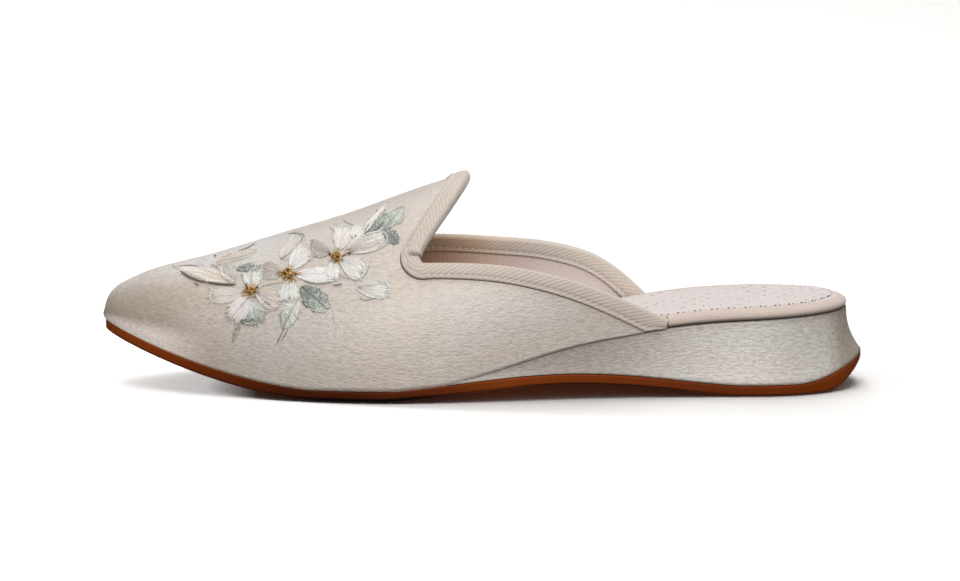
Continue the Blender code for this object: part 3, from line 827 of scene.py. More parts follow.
class Shape:
    """Points and faces gathered for one mesh. Each point has a place on the flat cloth and a tint."""

    def __init__(self):
        self.points, self.flats, self.tints, self.faces = [], [], [], []
        self.count = 0

    def add_points(self, points, flat=None, tint=WHITE):
        """Takes an array of points and returns their numbers in the same layout."""
        numbers = self.count + np.arange(points[..., 0].size).reshape(points.shape[:-1])
        self.count += numbers.size
        self.points.append(points.reshape(-1, 3))
        flat = points if flat is None else flat
        self.flats.append(np.broadcast_to(flat, points.shape).reshape(-1, 3))
        self.tints.append(np.broadcast_to(tint, points.shape).reshape(-1, 3))
        return numbers

    def add_quads(self, numbers, wrap=False):
        """Faces between neighbours of one grid of point numbers, or of a stack of grids."""
        if wrap:
            numbers = np.concatenate([numbers, numbers[..., :1]], axis=-1)
        near, far = numbers[..., :-1, :], numbers[..., 1:, :]
        corners = near[..., :-1], near[..., 1:], far[..., 1:], far[..., :-1]
        self.faces.extend(np.stack(corners, axis=-1).reshape(-1, 4).tolist())

    def add_rings(self, points, flat=None, tint=WHITE):
        """Closed solids: rings of points joined one to the next and capped at both ends."""
        numbers = self.add_points(points, flat, tint)
        self.add_quads(numbers, wrap=True)
        self.faces.extend(numbers[..., 0, :].reshape(-1, numbers.shape[-1]).tolist())
        self.faces.extend(numbers[..., -1, :].reshape(-1, numbers.shape[-1]).tolist())

    def build(self, name, materials, closed=True, stage=False):
        mesh = bpy.data.meshes.new(name)
        mesh.from_pydata(np.concatenate(self.points).tolist(), [], self.faces)
        flat = mesh.attributes.new("flat", "FLOAT_VECTOR", "POINT")
        flat.data.foreach_set("vector", np.concatenate(self.flats).ravel())
        tint = mesh.attributes.new("tint", "FLOAT_COLOR", "POINT")
        colours = np.column_stack([np.concatenate(self.tints), np.ones(self.count)])
        tint.data.foreach_set("color", colours.ravel())
        if closed:
            bm = bmesh.new()
            bm.from_mesh(mesh)
            bmesh.ops.recalc_face_normals(bm, faces=bm.faces)
            bm.to_mesh(mesh)
            bm.free()
        mesh.shade_smooth()
        for material in materials:
            mesh.materials.append(material)
        made = bpy.data.objects.new(name, mesh)
        bpy.context.scene.collection.objects.link(made)
        if stage:
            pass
        else:
            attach(made, "root")
        return made


def tube_rings(paths, normals, wide, high, sides):
    """Rings round each path: an oval, as wide on the surface and as high along its normal as told."""
    tangents = np.gradient(paths, axis=-2)
    across = unit(np.cross(tangents, normals))
    up = np.cross(across, unit(tangents))
    turn = circle(sides)
    sideways = np.cos(turn)[:, None] * across[..., None, :] * np.asarray(wide)[..., None, None]
    upwards = np.sin(turn)[:, None] * up[..., None, :] * np.asarray(high)[..., None, None]
    return paths[..., None, :] + sideways + upwards


def taper(count, end=0.3):
    """Thickness along a thread that is drawn in at both ends."""
    middle = np.abs(np.linspace(-1, 1, count))
    return end + (1 - end) * np.sqrt(1 - middle**6)


def add_threads(shape, paths, normals, wide, high, tint, sides=6):
    """Short threads, each along its own path."""
    thick = taper(paths.shape[-2])
    rings = tube_rings(paths, normals, wide * thick, high * thick, sides)
    around = np.arange(sides) / sides
    flat = np.stack(np.broadcast_arrays(run_along(paths)[..., None], around, 0.0), axis=-1)
    shape.add_rings(rings, flat, tint)


# Materials


# Scale of a wave texture that gives one wave for each unit
ONE_WAVE = 0.314159


class Finish:
    """A procedural material, put together node by node."""

    def __init__(self, name, **constants):
        self.material = bpy.data.materials.new(name)
        self.material.use_nodes = True
        self.tree = self.material.node_tree
        self.shader = self.tree.nodes["Principled BSDF"]
        for key, value in constants.items():
            self.plug(self.shader.inputs[key.replace("_", " ")], value)
        self.flat = self.node("Attribute", attribute_name="flat").outputs["Vector"]
        self.tint = self.node("Attribute", attribute_name="tint").outputs["Color"]

    def plug(self, socket, value):
        """Links a socket to another, or sets its own value. Colours are given without an alpha."""
        if isinstance(value, bpy.types.NodeSocket):
            self.tree.links.new(socket, value)
        else:
            socket.default_value = (*value, 1.0) if socket.type == "RGBA" else value

    def node(self, kind, inputs=(), **settings):
        made = self.tree.nodes.new("ShaderNode" + kind)
        for key, value in settings.items():
            setattr(made, key, value)
        for key, value in dict(inputs).items():
            self.plug(made.inputs[key], value)
        return made

    def stretched(self, scale, flat=None):
        """The flat cloth's coordinates, or turned ones, stretched by a scale for each of them."""
        flat = self.flat if flat is None else flat
        return self.node("VectorMath", {0: flat, 1: scale}, operation="MULTIPLY").outputs[0]

    def noise(self, scale, detail=2.0, roughness=0.5):
        """Noise between 0 and 1. The scale is in features per metre."""
        inputs = {"Vector": self.stretched(scale), "Scale": 1.0, "Detail": detail, "Roughness": roughness}
        return self.node("TexNoise", inputs).outputs[0]

    def waves(self, scale, distortion=0.0, flat=None):
        """Even waves between 0 and 1 along the first stretched coordinate, 1 of them for each unit."""
        inputs = {"Vector": self.stretched(scale, flat), "Scale": ONE_WAVE, "Distortion": distortion}
        return self.node("TexWave", inputs, wave_type="BANDS", bands_direction="X").outputs["Fac"]

    def ramp(self, value, low, high):
        """Maps 0 to 1 onto low to high."""
        return self.node("MapRange", {"Value": value, "To Min": low, "To Max": high}).outputs[0]

    def mix(self, share, first, second, blend="MIX"):
        made = self.node("Mix", {0: share, 6: first, 7: second}, data_type="RGBA", blend_type=blend)
        return made.outputs[2]

    def sum(self, first, second, weight):
        """The first value plus a weighted second one."""
        inputs = {0: second, 1: weight, 2: first}
        return self.node("Math", inputs, operation="MULTIPLY_ADD").outputs[0]

    def colour(self, cloth, light=WHITE):
        """Base colour: the cloth's, times a light and dark pattern, times the tint of the mesh."""
        patterned = self.mix(1.0, cloth, light, "MULTIPLY")
        self.plug(self.shader.inputs["Base Color"], self.mix(1.0, patterned, self.tint, "MULTIPLY"))

    def rough(self, value, low, high):
        self.plug(self.shader.inputs["Roughness"], self.ramp(value, low, high))

    def bump(self, height, distance, strength=1.0):
        inputs = {"Height": height, "Distance": distance, "Strength": strength}
        self.plug(self.shader.inputs["Normal"], self.node("Bump", inputs).outputs[0])


def satin(name, warm, cool, contrast):
    """Slubbed satin: short bright streaks along the shoe, a fine grain, and a slow drift of hue."""
    made = Finish(name, Metallic=0.12, Sheen_Weight=0.1, Sheen_Roughness=0.35, Specular_IOR_Level=0.5)
    streaks = made.noise((420, 1250, 1250), 3, 0.65)
    grain = made.noise((1500, 3400, 3400), 2)
    drift = made.noise((22, 55, 55), 2)
    cloth = made.mix(made.ramp(drift, -0.6, 1.6), warm, cool)
    light = made.ramp(made.sum(streaks, grain, 0.35), 0.92 - contrast, 0.92 + contrast)
    made.colour(cloth, light)
    made.rough(streaks, 0.30, 0.56)
    made.bump(made.sum(streaks, grain, 0.6), 0.00024, 0.85)
    return made.material


def lining():
    """Ribbed lining cloth, browner and darker towards the toe: painted warm shade deep inside."""
    made = Finish("lining_cloth", Roughness=0.85, Sheen_Weight=0.15)
    ribs = made.waves((1100, 60, 60), 1.5)
    grain = made.noise((1500, 1500, 1500), 2)
    depth = made.node("SeparateXYZ", {0: made.flat}).outputs[0]
    # Painted shade: browner and darker deep inside the toe.
    front = made.node("MapRange", {"Value": depth, "From Min": -0.022, "From Max": 0.024}).outputs[0]
    cloth = made.mix(front, (0.46, 0.255, 0.15), (0.575, 0.495, 0.465))
    made.colour(cloth, made.ramp(made.sum(ribs, grain, 0.6), 0.93, 1.04))
    made.bump(made.sum(ribs, grain, 0.5), 0.00012, 0.5)
    return made.material


def twill():
    """Twill tape. Its ribs are in the mesh; the tint paints shade between them."""
    made = Finish("twill_tape", Roughness=0.78, Sheen_Weight=0.2)
    grain = made.noise((2600, 2600, 2600), 3)
    drift = made.noise((90, 90, 90), 2)
    cloth = made.mix(drift, (0.495, 0.42, 0.358), (0.515, 0.458, 0.41))
    made.colour(cloth, made.ramp(grain, 0.82, 1.12))
    made.bump(grain, 0.0001, 0.5)
    return made.material


def insole_cloth():
    """Plain-woven cotton over foam."""
    made = Finish("insole_cotton", Roughness=0.86, Sheen_Weight=0.2)
    warp = made.waves((1500, 0, 0), 1.2)
    turned = made.node("VectorRotate", {"Vector": made.flat, "Angle": math.pi / 2}, rotation_type="Z_AXIS")
    weft = made.waves((1500, 0, 0), 1.2, turned.outputs[0])
    weave = made.sum(warp, weft, 1.0)
    drift = made.noise((120, 260, 260), 3)
    cloth = made.mix(drift, (0.51, 0.455, 0.44), (0.535, 0.487, 0.48))
    made.colour(cloth, made.ramp(weave, 0.94, 1.02))
    made.bump(made.sum(weave, drift, 1.0), 0.0001, 0.5)
    return made.material


def rubber():
    """Chestnut rubber, faintly cloudy, with fine mould marks."""
    made = Finish("sole_rubber", Specular_IOR_Level=0.06)
    cloud = made.noise((60, 60, 60), 3)
    marks = made.noise((900, 900, 2600), 3)
    body = made.mix(cloud, (0.210, 0.037, 0.004), (0.262, 0.056, 0.007))
    made.colour(body, made.ramp(marks, 0.86, 1.10))
    made.rough(marks, 0.42, 0.58)
    made.bump(marks, 0.00008, 0.4)
    return made.material


def thread(name, roughness):
    """Spun thread: the mesh gives its colour, and the nodes the twist of its plies."""
    made = Finish(name, Roughness=roughness, Sheen_Weight=0.3, Specular_IOR_Level=0.5)
    twist = made.waves((2200, 0, 0))
    fuzz = made.noise((2500, 8, 8), 2)
    made.colour(made.ramp(fuzz, 0.74, 1.18), made.ramp(twist, 0.90, 1.04))
    made.bump(made.sum(twist, fuzz, 0.5), 0.00006, 0.5)
    return made.material


# Upper


def round_lines():
    """round_share of every line that runs from the toe, with the two throat corners among them."""
    lateral, medial = THROAT_SHARE["lateral"], THROAT_SHARE["medial"]
    off_corner = 1 - spaced(TONGUE_LINES, TONGUE_SPACING)
    return np.concatenate(
        [
            np.linspace(-1, lateral, SIDE_LINES + 1)[:-1],
            lateral * off_corner[:-1],
            medial * off_corner[:0:-1],
            np.linspace(medial, 1, SIDE_LINES + 1),
        ]
    )


def fold_depth(flat):
    """How far the soft folds sink the cloth: a trough with a low ridge on either side."""
    sunk = np.zeros(flat.shape[:-1])
    for fold in FOLDS:
        start, end = np.array(fold.start), np.array(fold.end)
        run = end - start
        share = ((flat - start) @ run) / (run @ run)
        aside = (flat - start) @ np.array((-run[1], run[0])) / np.linalg.norm(run) / fold.width
        ends = hump(share, 0, FOLD_ENDS, 1 - FOLD_ENDS, 1)
        sunk += fold.depth * ends * (1 - FOLD_RIDGES * aside**2) * np.exp(-(aside**2) / 2)
    return sunk


def upper_skin(along, shares):
    """Points of the cloth with its folds."""
    normals = last_slopes(along, shares)[2]
    flat = np.stack([along, girth(along, shares)], axis=-1)
    return last_point(along, shares) - normals * fold_depth(flat)[..., None]


def toe_painted_light(along, lines):
    """Painted highlights on the ridge and low at the tip, and warmer, darker painted shade between them."""
    off_ridge, low = onset(np.abs(lines), *SIDE_ZONE), onset(np.abs(lines), *LOW_ZONE)
    tip = onset(along, *TOE_TIP_ZONE)
    warmth = onset(along, *TOE_WARM_ZONE) * off_ridge * (1 - tip * low)
    tone = tip * (TOE_LOW_HIGHLIGHT * low - TOE_MIDDLE_SHADE * off_ridge * (1 - low))
    ridge = onset(along, *TOE_RIDGE_ZONE) * (1 - off_ridge)
    return 1 + tone[..., None] - warmth[..., None] * TOE_WARM_SHADE + ridge[..., None] * TOE_RIDGE_HIGHLIGHT


def build_upper():
    """Vamp and tongue from the toe, then both side walls, lined on the inside."""
    shape = Shape()
    lines = round_lines()
    along = NOSE + np.outer(spaced(VAMP_ROWS, VAMP_SPACING), tongue_edge(lines) - NOSE)
    skin = upper_skin(along, np.broadcast_to(lines, along.shape))
    # The toe's tint is painted light and shade.
    vamp = shape.add_points(skin, tint=toe_painted_light(along, lines))
    shape.add_quads(vamp[:, ::-1])
    shape.faces.append(vamp[0].tolist())
    beside_throat = {"lateral": vamp[-1, : SIDE_LINES + 1], "medial": vamp[-1, : -SIDE_LINES - 2 : -1]}
    for side, way in SIDES.items():
        stations = THROAT + (collar_stop(side) - THROAT) * spaced(SIDE_ROWS, SIDE_SPACING)[1:, None]
        up = np.linspace(0, 1, SIDE_LINES + 1)
        shares = way + (side_top(stations, side) - way) * up
        wall = shape.add_points(upper_skin(np.broadcast_to(stations, shares.shape), shares))
        wall = np.concatenate([beside_throat[side][None], wall])
        shape.add_quads(wall[:, ::-1] if way < 0 else wall)
    ivory = satin("upper_satin", (0.44, 0.382, 0.333), (0.447, 0.417, 0.392), 0.42)
    upper = shape.build("upper_cloth", [ivory, lining()], closed=False)
    tree = BVHTree.FromPolygons(np.concatenate(shape.points).tolist(), shape.faces)
    solidify = upper.modifiers.new("wall", "SOLIDIFY")
    solidify.thickness = WALL
    solidify.offset = -1
    solidify.material_offset = 1
    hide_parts("upper")
    return tree


# Binding


def collar_path():
    """Stations, round_shares and tape widths in even steps along the collar, from end to end."""
    fine = np.linspace(0, 1, COLLAR_FINE)
    stations = {side: THROAT + (collar_stop(side) - THROAT) * fine**2 for side in SIDES}
    tongue = np.concatenate([THROAT_SHARE["lateral"] * (1 - fine), THROAT_SHARE["medial"] * fine[1:]])
    along = np.concatenate([stations["lateral"][:0:-1], tongue_edge(tongue), stations["medial"][1:]])
    lateral = side_top(stations["lateral"][:0:-1], "lateral")
    medial = side_top(stations["medial"][1:], "medial")
    shares = np.concatenate([lateral, tongue, medial])
    run = run_along(last_point(along, shares))
    even = np.linspace(0, run[-1], int(run[-1] / BINDING_STEP))
    along, shares = np.interp(even, run, along), np.interp(even, run, shares)
    end = np.where(shares < 0, COLLAR_END["lateral"], COLLAR_END["medial"])
    corner = np.where(shares < 0, -THROAT_SHARE["lateral"], THROAT_SHARE["medial"])
    beside = THROAT_TAPE + (END_TAPE - THROAT_TAPE) * np.clip((along - THROAT) / (end - THROAT), 0, 1) ** 2
    off_tip = np.clip(np.abs(shares) / corner, 0, 1)
    over = TONGUE_TAPE + (THROAT_TAPE - TONGUE_TAPE) * off_tip**TAPE_TAPER_POWER
    far_tip = np.sin(math.pi * np.clip(off_tip / FAR_TIP_END, 0, 1)) * (shares > 0)
    over = over * (1 - FAR_TIP_SHORTER * far_tip)
    widths = np.where(np.abs(shares) < corner, over, beside)
    return even, along, shares, widths * (1 + CORNER_SPREAD * at_corners(even, along, shares, CORNER_REACH))


def at_corners(run, along, shares, reach, onward=0.0):
    """A hump of 1 at each throat corner, or this far onward from it towards the tongue."""
    humps = np.zeros(len(run))
    for way in SIDES.values():
        on_side = np.where(shares * way > 0, along, np.inf)
        centre = run[np.argmin(on_side)] - way * onward
        humps += bell(run - centre, reach)
    return humps


def walk_in(along, shares, inward, distance, lowest):
    """Moves along the surface from the collar, no further than the ridge and no lower than lowest."""
    way = np.where(shares < 0, -1.0, 1.0)
    for _ in range(WALK_STEPS):
        first, second, _ = last_slopes(along, shares)
        step = inward * (distance / WALK_STEPS)[:, None]
        ff, fs, ss = (first * first).sum(1), (first * second).sum(1), (second * second).sum(1)
        fd, sd = (first * step).sum(1), (second * step).sum(1)
        area = ff * ss - fs * fs
        onward = along + (fd * ss - sd * fs) / area
        round_on = way * np.clip(way * (shares + (sd * ff - fd * fs) / area), 0, 1)
        fine = last_point(onward, round_on)[:, 2] >= lowest(onward)
        along, shares = np.where(fine, onward, along), np.where(fine, round_on, shares)
    return along, shares


def leg_points(along, shares, end, steps):
    """Wall points and normals down a leg, at these shares of the way from the fold to its end."""
    stations = along[:, None] + (end[0] - along)[:, None] * steps
    rounds = shares[:, None] + (end[1] - shares)[:, None] * steps
    return last_point(stations, rounds), last_slopes(stations, rounds)[2]


def leg_rise(steps):
    """Height of the tape over its plain thickness: a groove under the stitches, then a raised lip."""
    groove = STITCH_GROOVE * bell(steps - STITCH_PLACE, SEWN_WIDTH)
    lip = LIP_RISE * bell(steps - LIP_PLACE, SEWN_WIDTH)
    puff = LEG_PUFF * np.sin(math.pi * np.clip(steps / STITCH_PLACE, 0, 1))
    return puff + lip - groove


def binding_light_and_shade(along, shares, ribs, pleat, fading, hidden):
    """Painted shade in rib gaps and pleats, brown on the inner leg past the far corner, then painted light.
    """
    shade = RIB_SHADE + RIB_CONTRAST * np.concatenate([*ribs, np.zeros((len(along), hidden))], axis=1)
    creased = np.append(fading[::-1], np.ones(FOLD_POINTS))
    shade[:, : LEG_POINTS + FOLD_POINTS] *= 1 - PLEAT_SHADE * pleat * creased
    past_fold = (np.arange(shade.shape[1]) - LEG_POINTS) / FOLD_POINTS
    inner_leg = onset(past_fold, *INNER_LEG_ZONE)
    inner_leg[2 * LEG_POINTS + FOLD_POINTS :] = 0
    behind_corner = onset(shares - THROAT_SHARE["medial"], 0, FAR_CORNER)
    far_inside = np.outer(behind_corner, inner_leg)[..., None]
    browner = onset(along, *TAPE_BROWN_ZONE)[:, None, None]
    paler = onset(along, *TAPE_PALE_ZONE)[:, None, None]
    return warmed(shade, RIB_WARMTH) * (1 - far_inside * (browner * TAPE_WARM_SHADE - TAPE_PALE_LIGHT * paler))


def build_binding():
    """Twill tape folded over the collar's edge, sewn through both legs."""
    run, along, shares, widths = collar_path()
    edge = last_point(along, shares)
    facing = last_slopes(along, shares)[2]
    inward = unit(np.cross(facing, np.gradient(edge, axis=0)))
    out, back = GAP + TAPE, WALL + GAP
    steps = np.linspace(0, 1, LEG_POINTS + 1)[1:]
    turns = np.linspace(math.pi / 2, -math.pi / 2, FOLD_POINTS)

    def above_seat(at):
        return seat(at) + GAP

    def above_insole(at):
        behind_roll = seat(at) + insole_thickness(at) * WAIST
        return np.maximum(seat(at) + GAP, np.minimum(behind_roll, edge[:, 2] - SHORTEST_LEG))

    def rib(across):
        """Ribs run at an angle over the tape; across is the distance down from the fold."""
        phase = run[:, None] * math.sin(RIB_ANGLE) - across * math.cos(RIB_ANGLE)
        return np.cos(2 * math.pi * phase / RIB_PITCH)

    fold_arc = (WALL / 2 + out) * (math.pi / 2 - turns)
    outer_end = walk_in(along, shares, inward, widths, above_seat)
    inner_end = walk_in(along, shares, inward, widths, above_insole)
    outer_wall, outer_normal = leg_points(along, shares, outer_end, steps)
    inner_wall, inner_normal = leg_points(along, shares, inner_end, steps)
    ribs = {
        "outer": rib(widths[:, None] * steps),
        "fold": rib(-fold_arc[None]),
        "inner": rib(-fold_arc[-1] - widths[:, None] * steps),
    }
    pleat = at_corners(run, along, shares, PLEAT_WIDTH, PLEAT_PLACE)[:, None]
    welt = at_corners(run, along, shares, WELT_WIDTH, WELT_PLACE)[:, None]
    fading = onset(steps, *PLEAT_ZONE)
    crease = PLEAT_DEPTH * (PLEAT_WELT * welt - pleat)
    outer_rise = out + leg_rise(steps) + RIB_DEPTH * ribs["outer"] + crease * fading
    inner_rise = back + TAPE + leg_rise(steps) + RIB_DEPTH * ribs["inner"]
    outer_face = outer_wall + outer_normal * outer_rise[..., None]
    inner_face = inner_wall - inner_normal * inner_rise[..., None]
    round_off = WALL / 2 + out + RIB_DEPTH * ribs["fold"] + crease
    across_fold = out + RIB_DEPTH * ribs["fold"] + crease
    lift = round_off * np.sin(turns) - WALL / 2
    fold = edge[:, None] + facing[:, None] * lift[..., None]
    fold = fold - inward[:, None] * (across_fold * np.cos(turns))[..., None]
    tucked = steps[[-1, LEG_POINTS // 2]]
    outer_under, outer_under_normal = leg_points(along, shares, outer_end, tucked)
    inner_under, inner_under_normal = leg_points(along, shares, inner_end, tucked[::-1])
    under_edge = np.stack([edge - facing * back - inward * GAP, edge + facing * GAP - inward * GAP], axis=1)
    rings = np.concatenate(
        [
            outer_face[:, ::-1],
            fold,
            inner_face,
            (inner_under - inner_under_normal * back)[:, ::-1],
            under_edge,
            (outer_under + outer_under_normal * TUCK)[:, ::-1],
        ],
        axis=1,
    )
    seen = [ribs["outer"][:, ::-1], ribs["fold"], ribs["inner"]]
    hidden = rings.shape[1] - 2 * LEG_POINTS - FOLD_POINTS
    shape = Shape()
    # The tape's tint is painted light and shade.
    shape.add_rings(rings, tint=binding_light_and_shade(along, shares, seen, pleat, fading, hidden))
    binding = shape.build("binding_tape", [twill()])
    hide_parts("collar_binding")
    build_binding_stitches(run, outer_face, outer_normal, inner_face, -inner_normal, steps)
    build_binding_shadow_lines(outer_end, inner_end, at_corners(run, along, shares, CORNER_REACH))


def build_binding_shadow_lines(outer_end, inner_end, corners):
    """A dark cord of painted shadow beside the free end of each leg, thicker round the throat's corners."""
    shape = Shape()
    # The cord is painted shadow under the tape's lip.
    thick = SHADOW_CORD_THICK * (1 + CORNER_SHADOW * corners[None])
    for end, rise in ((outer_end, 0.0), (inner_end, -WALL)):
        normals = last_slopes(*end)[2][None]
        paths = last_point(*end)[None] + normals * rise
        add_threads(shape, paths, normals, thick, thick, SEAM_SHADE)
    shape.build("binding_shadow_lines", [thread("shadow_cord", 0.8)])


def build_binding_stitches(run, outer_face, outer_normal, inner_face, inner_normal, steps):
    """A row of stitches in the groove of each leg."""
    shape = Shape()
    column = int(np.argmin(np.abs(steps - STITCH_PLACE)))
    starts = np.arange(STITCH_PITCH, run[-1] - 2 * STITCH_PITCH, STITCH_PITCH)
    at = starts[:, None] + np.linspace(0, STITCH_LENGTH, TAPE_STITCH_POINTS)
    for face, normal in ((outer_face, outer_normal), (inner_face, inner_normal)):
        line = follow(at, run, face[:, column])
        up = unit(follow(at, run, normal[:, column]))
        arch = STITCH_THICK * (np.sin(math.pi * np.linspace(0, 1, TAPE_STITCH_POINTS)) - STITCH_SUNK)
        add_threads(shape, line + up * arch[:, None], up, STITCH_THICK, STITCH_THICK, TAPE_STITCH)
    shape.build("binding_stitches", [thread("stitch_thread", 0.6)])


# Insole


def insole_inset(along, side):
    """How far the edge keeps inside the last's sole line: clear of wall and binding, flush behind them."""
    beside_tape = np.clip((along - COLLAR_END[side]) / TAPE_CLEAR_RUN + 2, 0, 1)
    past = smooth((along - collar_stop(side) - COLLAR_END_CLEAR) / INSOLE_STEP_RUN)
    return (WALL + INSOLE_CLEAR + (GAP + TAPE + GAP) * beside_tape) * (1 - past)


def back_stations(end, reach):
    """Stations round a back that ends in a narrow facet."""
    turn = np.linspace(math.pi / 2, BACK_FACET, BACK_ROWS + 1)
    return end - reach * (1 - np.cos(turn))


def insole_stations():
    """Close steps at the toe and beside the collar's ends, even steps along the foot, and the round back."""
    straight = LAST_END - LAST_BACK_ROUND
    toe = INSOLE_START + (straight - INSOLE_START) * spaced(STRAIGHT_ROWS * 2, INSOLE_SPACING)[:-1]
    steps = [collar_stop(side) + np.linspace(0, STEP_REACH, STEP_ROWS) for side in SIDES]
    along = np.sort(np.concatenate([toe, *steps, back_stations(LAST_END, LAST_BACK_ROUND)]))
    return along[np.append(np.diff(along) > CLOSEST_ROWS, True)]


def insole_outline():
    """The last's sole line in plan, down the lateral side, round the back and up the medial side.

    With it come its way inwards, how far in the insole's edge lies, and the length run along it.
    """
    along = insole_stations()
    lateral = np.column_stack([along, -last_half(along, "lateral")])
    medial = np.column_stack([along, last_half(along, "medial")])[::-1]
    line = np.concatenate([lateral, medial])
    ahead = np.gradient(line, axis=0)
    steps = np.linalg.norm(ahead, axis=1)
    run = steps.cumsum()
    nearby = bell(run[:, None] - run, EASE) * steps
    inward = unit(nearby @ (np.column_stack([-ahead[:, 1], ahead[:, 0]]) / steps[:, None]))
    edge = np.concatenate([insole_inset(along, "lateral"), insole_inset(along, "medial")[::-1]])
    return line, inward, edge, run


def in_band(edge, inside):
    """Distance in from the sole line. The band narrows where the edge lies further in than the line."""
    return edge * (1 - inside / BAND_END) + inside


def from_edge(along, across):
    """Distance of a plan point from the insole's edge, stretched as the band is."""
    step = 1e-5
    distances = []
    for side, way in SIDES.items():
        slope = (last_half(along, side) - last_half(along - step, side)) / step
        from_line = (last_half(along, side) - way * across) / np.hypot(slope, 1)
        edge = insole_inset(along, side)
        stretched = (from_line - edge) * BAND_END / (BAND_END - edge)
        distances.append(np.where(from_line < BAND_END, stretched, from_line))
    return np.maximum(np.minimum(*distances), 0)


def quilting(along, across, inside):
    """Dimples at each stitch of a staggered grid, and a channel under the row of stitches round it."""
    rows = np.cos(2 * math.pi * across / (2 * QUILT_ROW))
    columns = np.cos(2 * math.pi * along / QUILT_PITCH)
    past_row = inside - EDGE_ROW_INSET
    dimples = QUILT_DEPTH * np.clip(rows * columns, 0, 1) ** 3 * onset(past_row, 0, QUILT_FADE)
    channel = EDGE_ROW_DEPTH * onset(along, *EDGE_ROW_ZONE) * bell(past_row, EDGE_ROW_WIDTH)
    return -dimples - channel


def on_insole(plan, inside=None, above=0.0):
    """Points on the insole's top, rolled over towards its edge and crowned in the middle."""
    along, across = plan[..., 0], plan[..., 1]
    inside = from_edge(along, across) if inside is None else inside
    roll = ROLL_FRONT + (ROLL_BACK - ROLL_FRONT) * onset(along, *ROLL_ZONE)
    rolled = WAIST + (1 - WAIST) * rounded_end(inside, roll)
    crown = EDGE_LEVEL + (INSOLE_CROWN - EDGE_LEVEL) * onset(inside, 0, CROWN_REACH)
    top = seat(along) + insole_thickness(along) * crown * rolled + quilting(along, across, inside)
    return place(along, across, top + above)


def build_insole():
    """Padded insole: recessed seam, rolled edge and crowned, quilted top."""
    line, inward, edge_in, _ = insole_outline()
    along = line[:, 0]
    fit = np.clip((along - INSOLE_START) / TOE_FIT_REACH, TOE_FIT, 1)
    turn = np.linspace(0, math.pi / 2, ROLL_POINTS)
    low_inset = SEAM_INSET * np.concatenate([[1], 1 - np.sin(turn)])
    low_level = np.concatenate([[0], NECK + (WAIST - NECK) * (1 - np.cos(turn))])
    outer_roll = ROLL_BACK * (1 - np.cos(turn[1:]))
    band = np.append(EDGE_ROW_INSET + BAND_ROWS, BAND_END)
    high_inset = np.sort(np.concatenate([outer_roll[outer_roll < band[0] - BAND_CLEAR], band]))
    rows = []
    for inset, level in zip(low_inset, low_level):
        plan = line + inward * (edge_in + inset * fit)[:, None]
        height = insole_thickness(along) * EDGE_LEVEL * level
        rows.append(place(plan[:, 0], plan[:, 1], seat(plan[:, 0]) + height))
    for inset in high_inset:
        rows.append(on_insole(line + inward * in_band(edge_in, inset)[:, None], inset))
    # Painted shade darkens the low rows down in the recessed seam; above it they are beige.
    recess_shade = np.clip(1 - (low_level - NECK / 2) / SEAM_FADE, 0, 1)[:, None, None] ** SEAM_FADE_POWER
    low_tint = np.array(BEIGE) * (1 - recess_shade) + np.array(SEAM_RECESS_SHADE) * recess_shade
    band_width = EDGE_ROW_INSET * (1 - BAND_NARROWER * onset(along, *BAND_ZONE))
    high_tint = np.where((high_inset[:, None] < band_width)[..., None], BEIGE, WHITE)
    low_tint = np.broadcast_to(low_tint, (len(low_level), *high_tint.shape[1:]))
    shape = Shape()
    edge = shape.add_points(np.stack(rows), tint=np.concatenate([low_tint, high_tint]))
    shape.add_quads(edge, wrap=True)
    count = len(line) // 2
    shape.add_quads(np.column_stack([edge[0, :count], edge[0, : count - 1 : -1]]))
    left, right = edge[-1, :count], edge[-1, : count - 1 : -1]
    plan = line + inward * BAND_END
    share = np.linspace(0, 1, TOP_POINTS)[1:-1, None]
    middle = plan[1 : count - 1, None] * (1 - share) + plan[-2:count:-1, None] * share
    top = shape.add_points(on_insole(middle))
    shape.add_quads(np.column_stack([left[1:-1], top, right[1:-1]]))
    shape.faces.append([left[0], left[1], *top[0].tolist(), right[1], right[0]])
    shape.faces.append([left[-1], left[-2], *top[-1].tolist(), right[-2], right[-1]])
    insole = shape.build("insole_pad", [insole_cloth()])
    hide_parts("insole")
    build_insole_stitches()


def flat_threads(shape, starts, ends, thick, tint, sunk):
    """Short threads on top of the insole, from plan point to plan point."""
    share = np.linspace(0, 1, FLAT_STITCH_POINTS)[:, None]
    plan = starts[:, None] + (ends - starts)[:, None] * share
    arch = thick * (np.sin(math.pi * share[:, 0]) - sunk)
    paths = on_insole(plan, above=arch)
    up = np.broadcast_to((0.0, 0.0, 1.0), paths.shape)
    add_threads(shape, paths, up, thick, thick, tint)


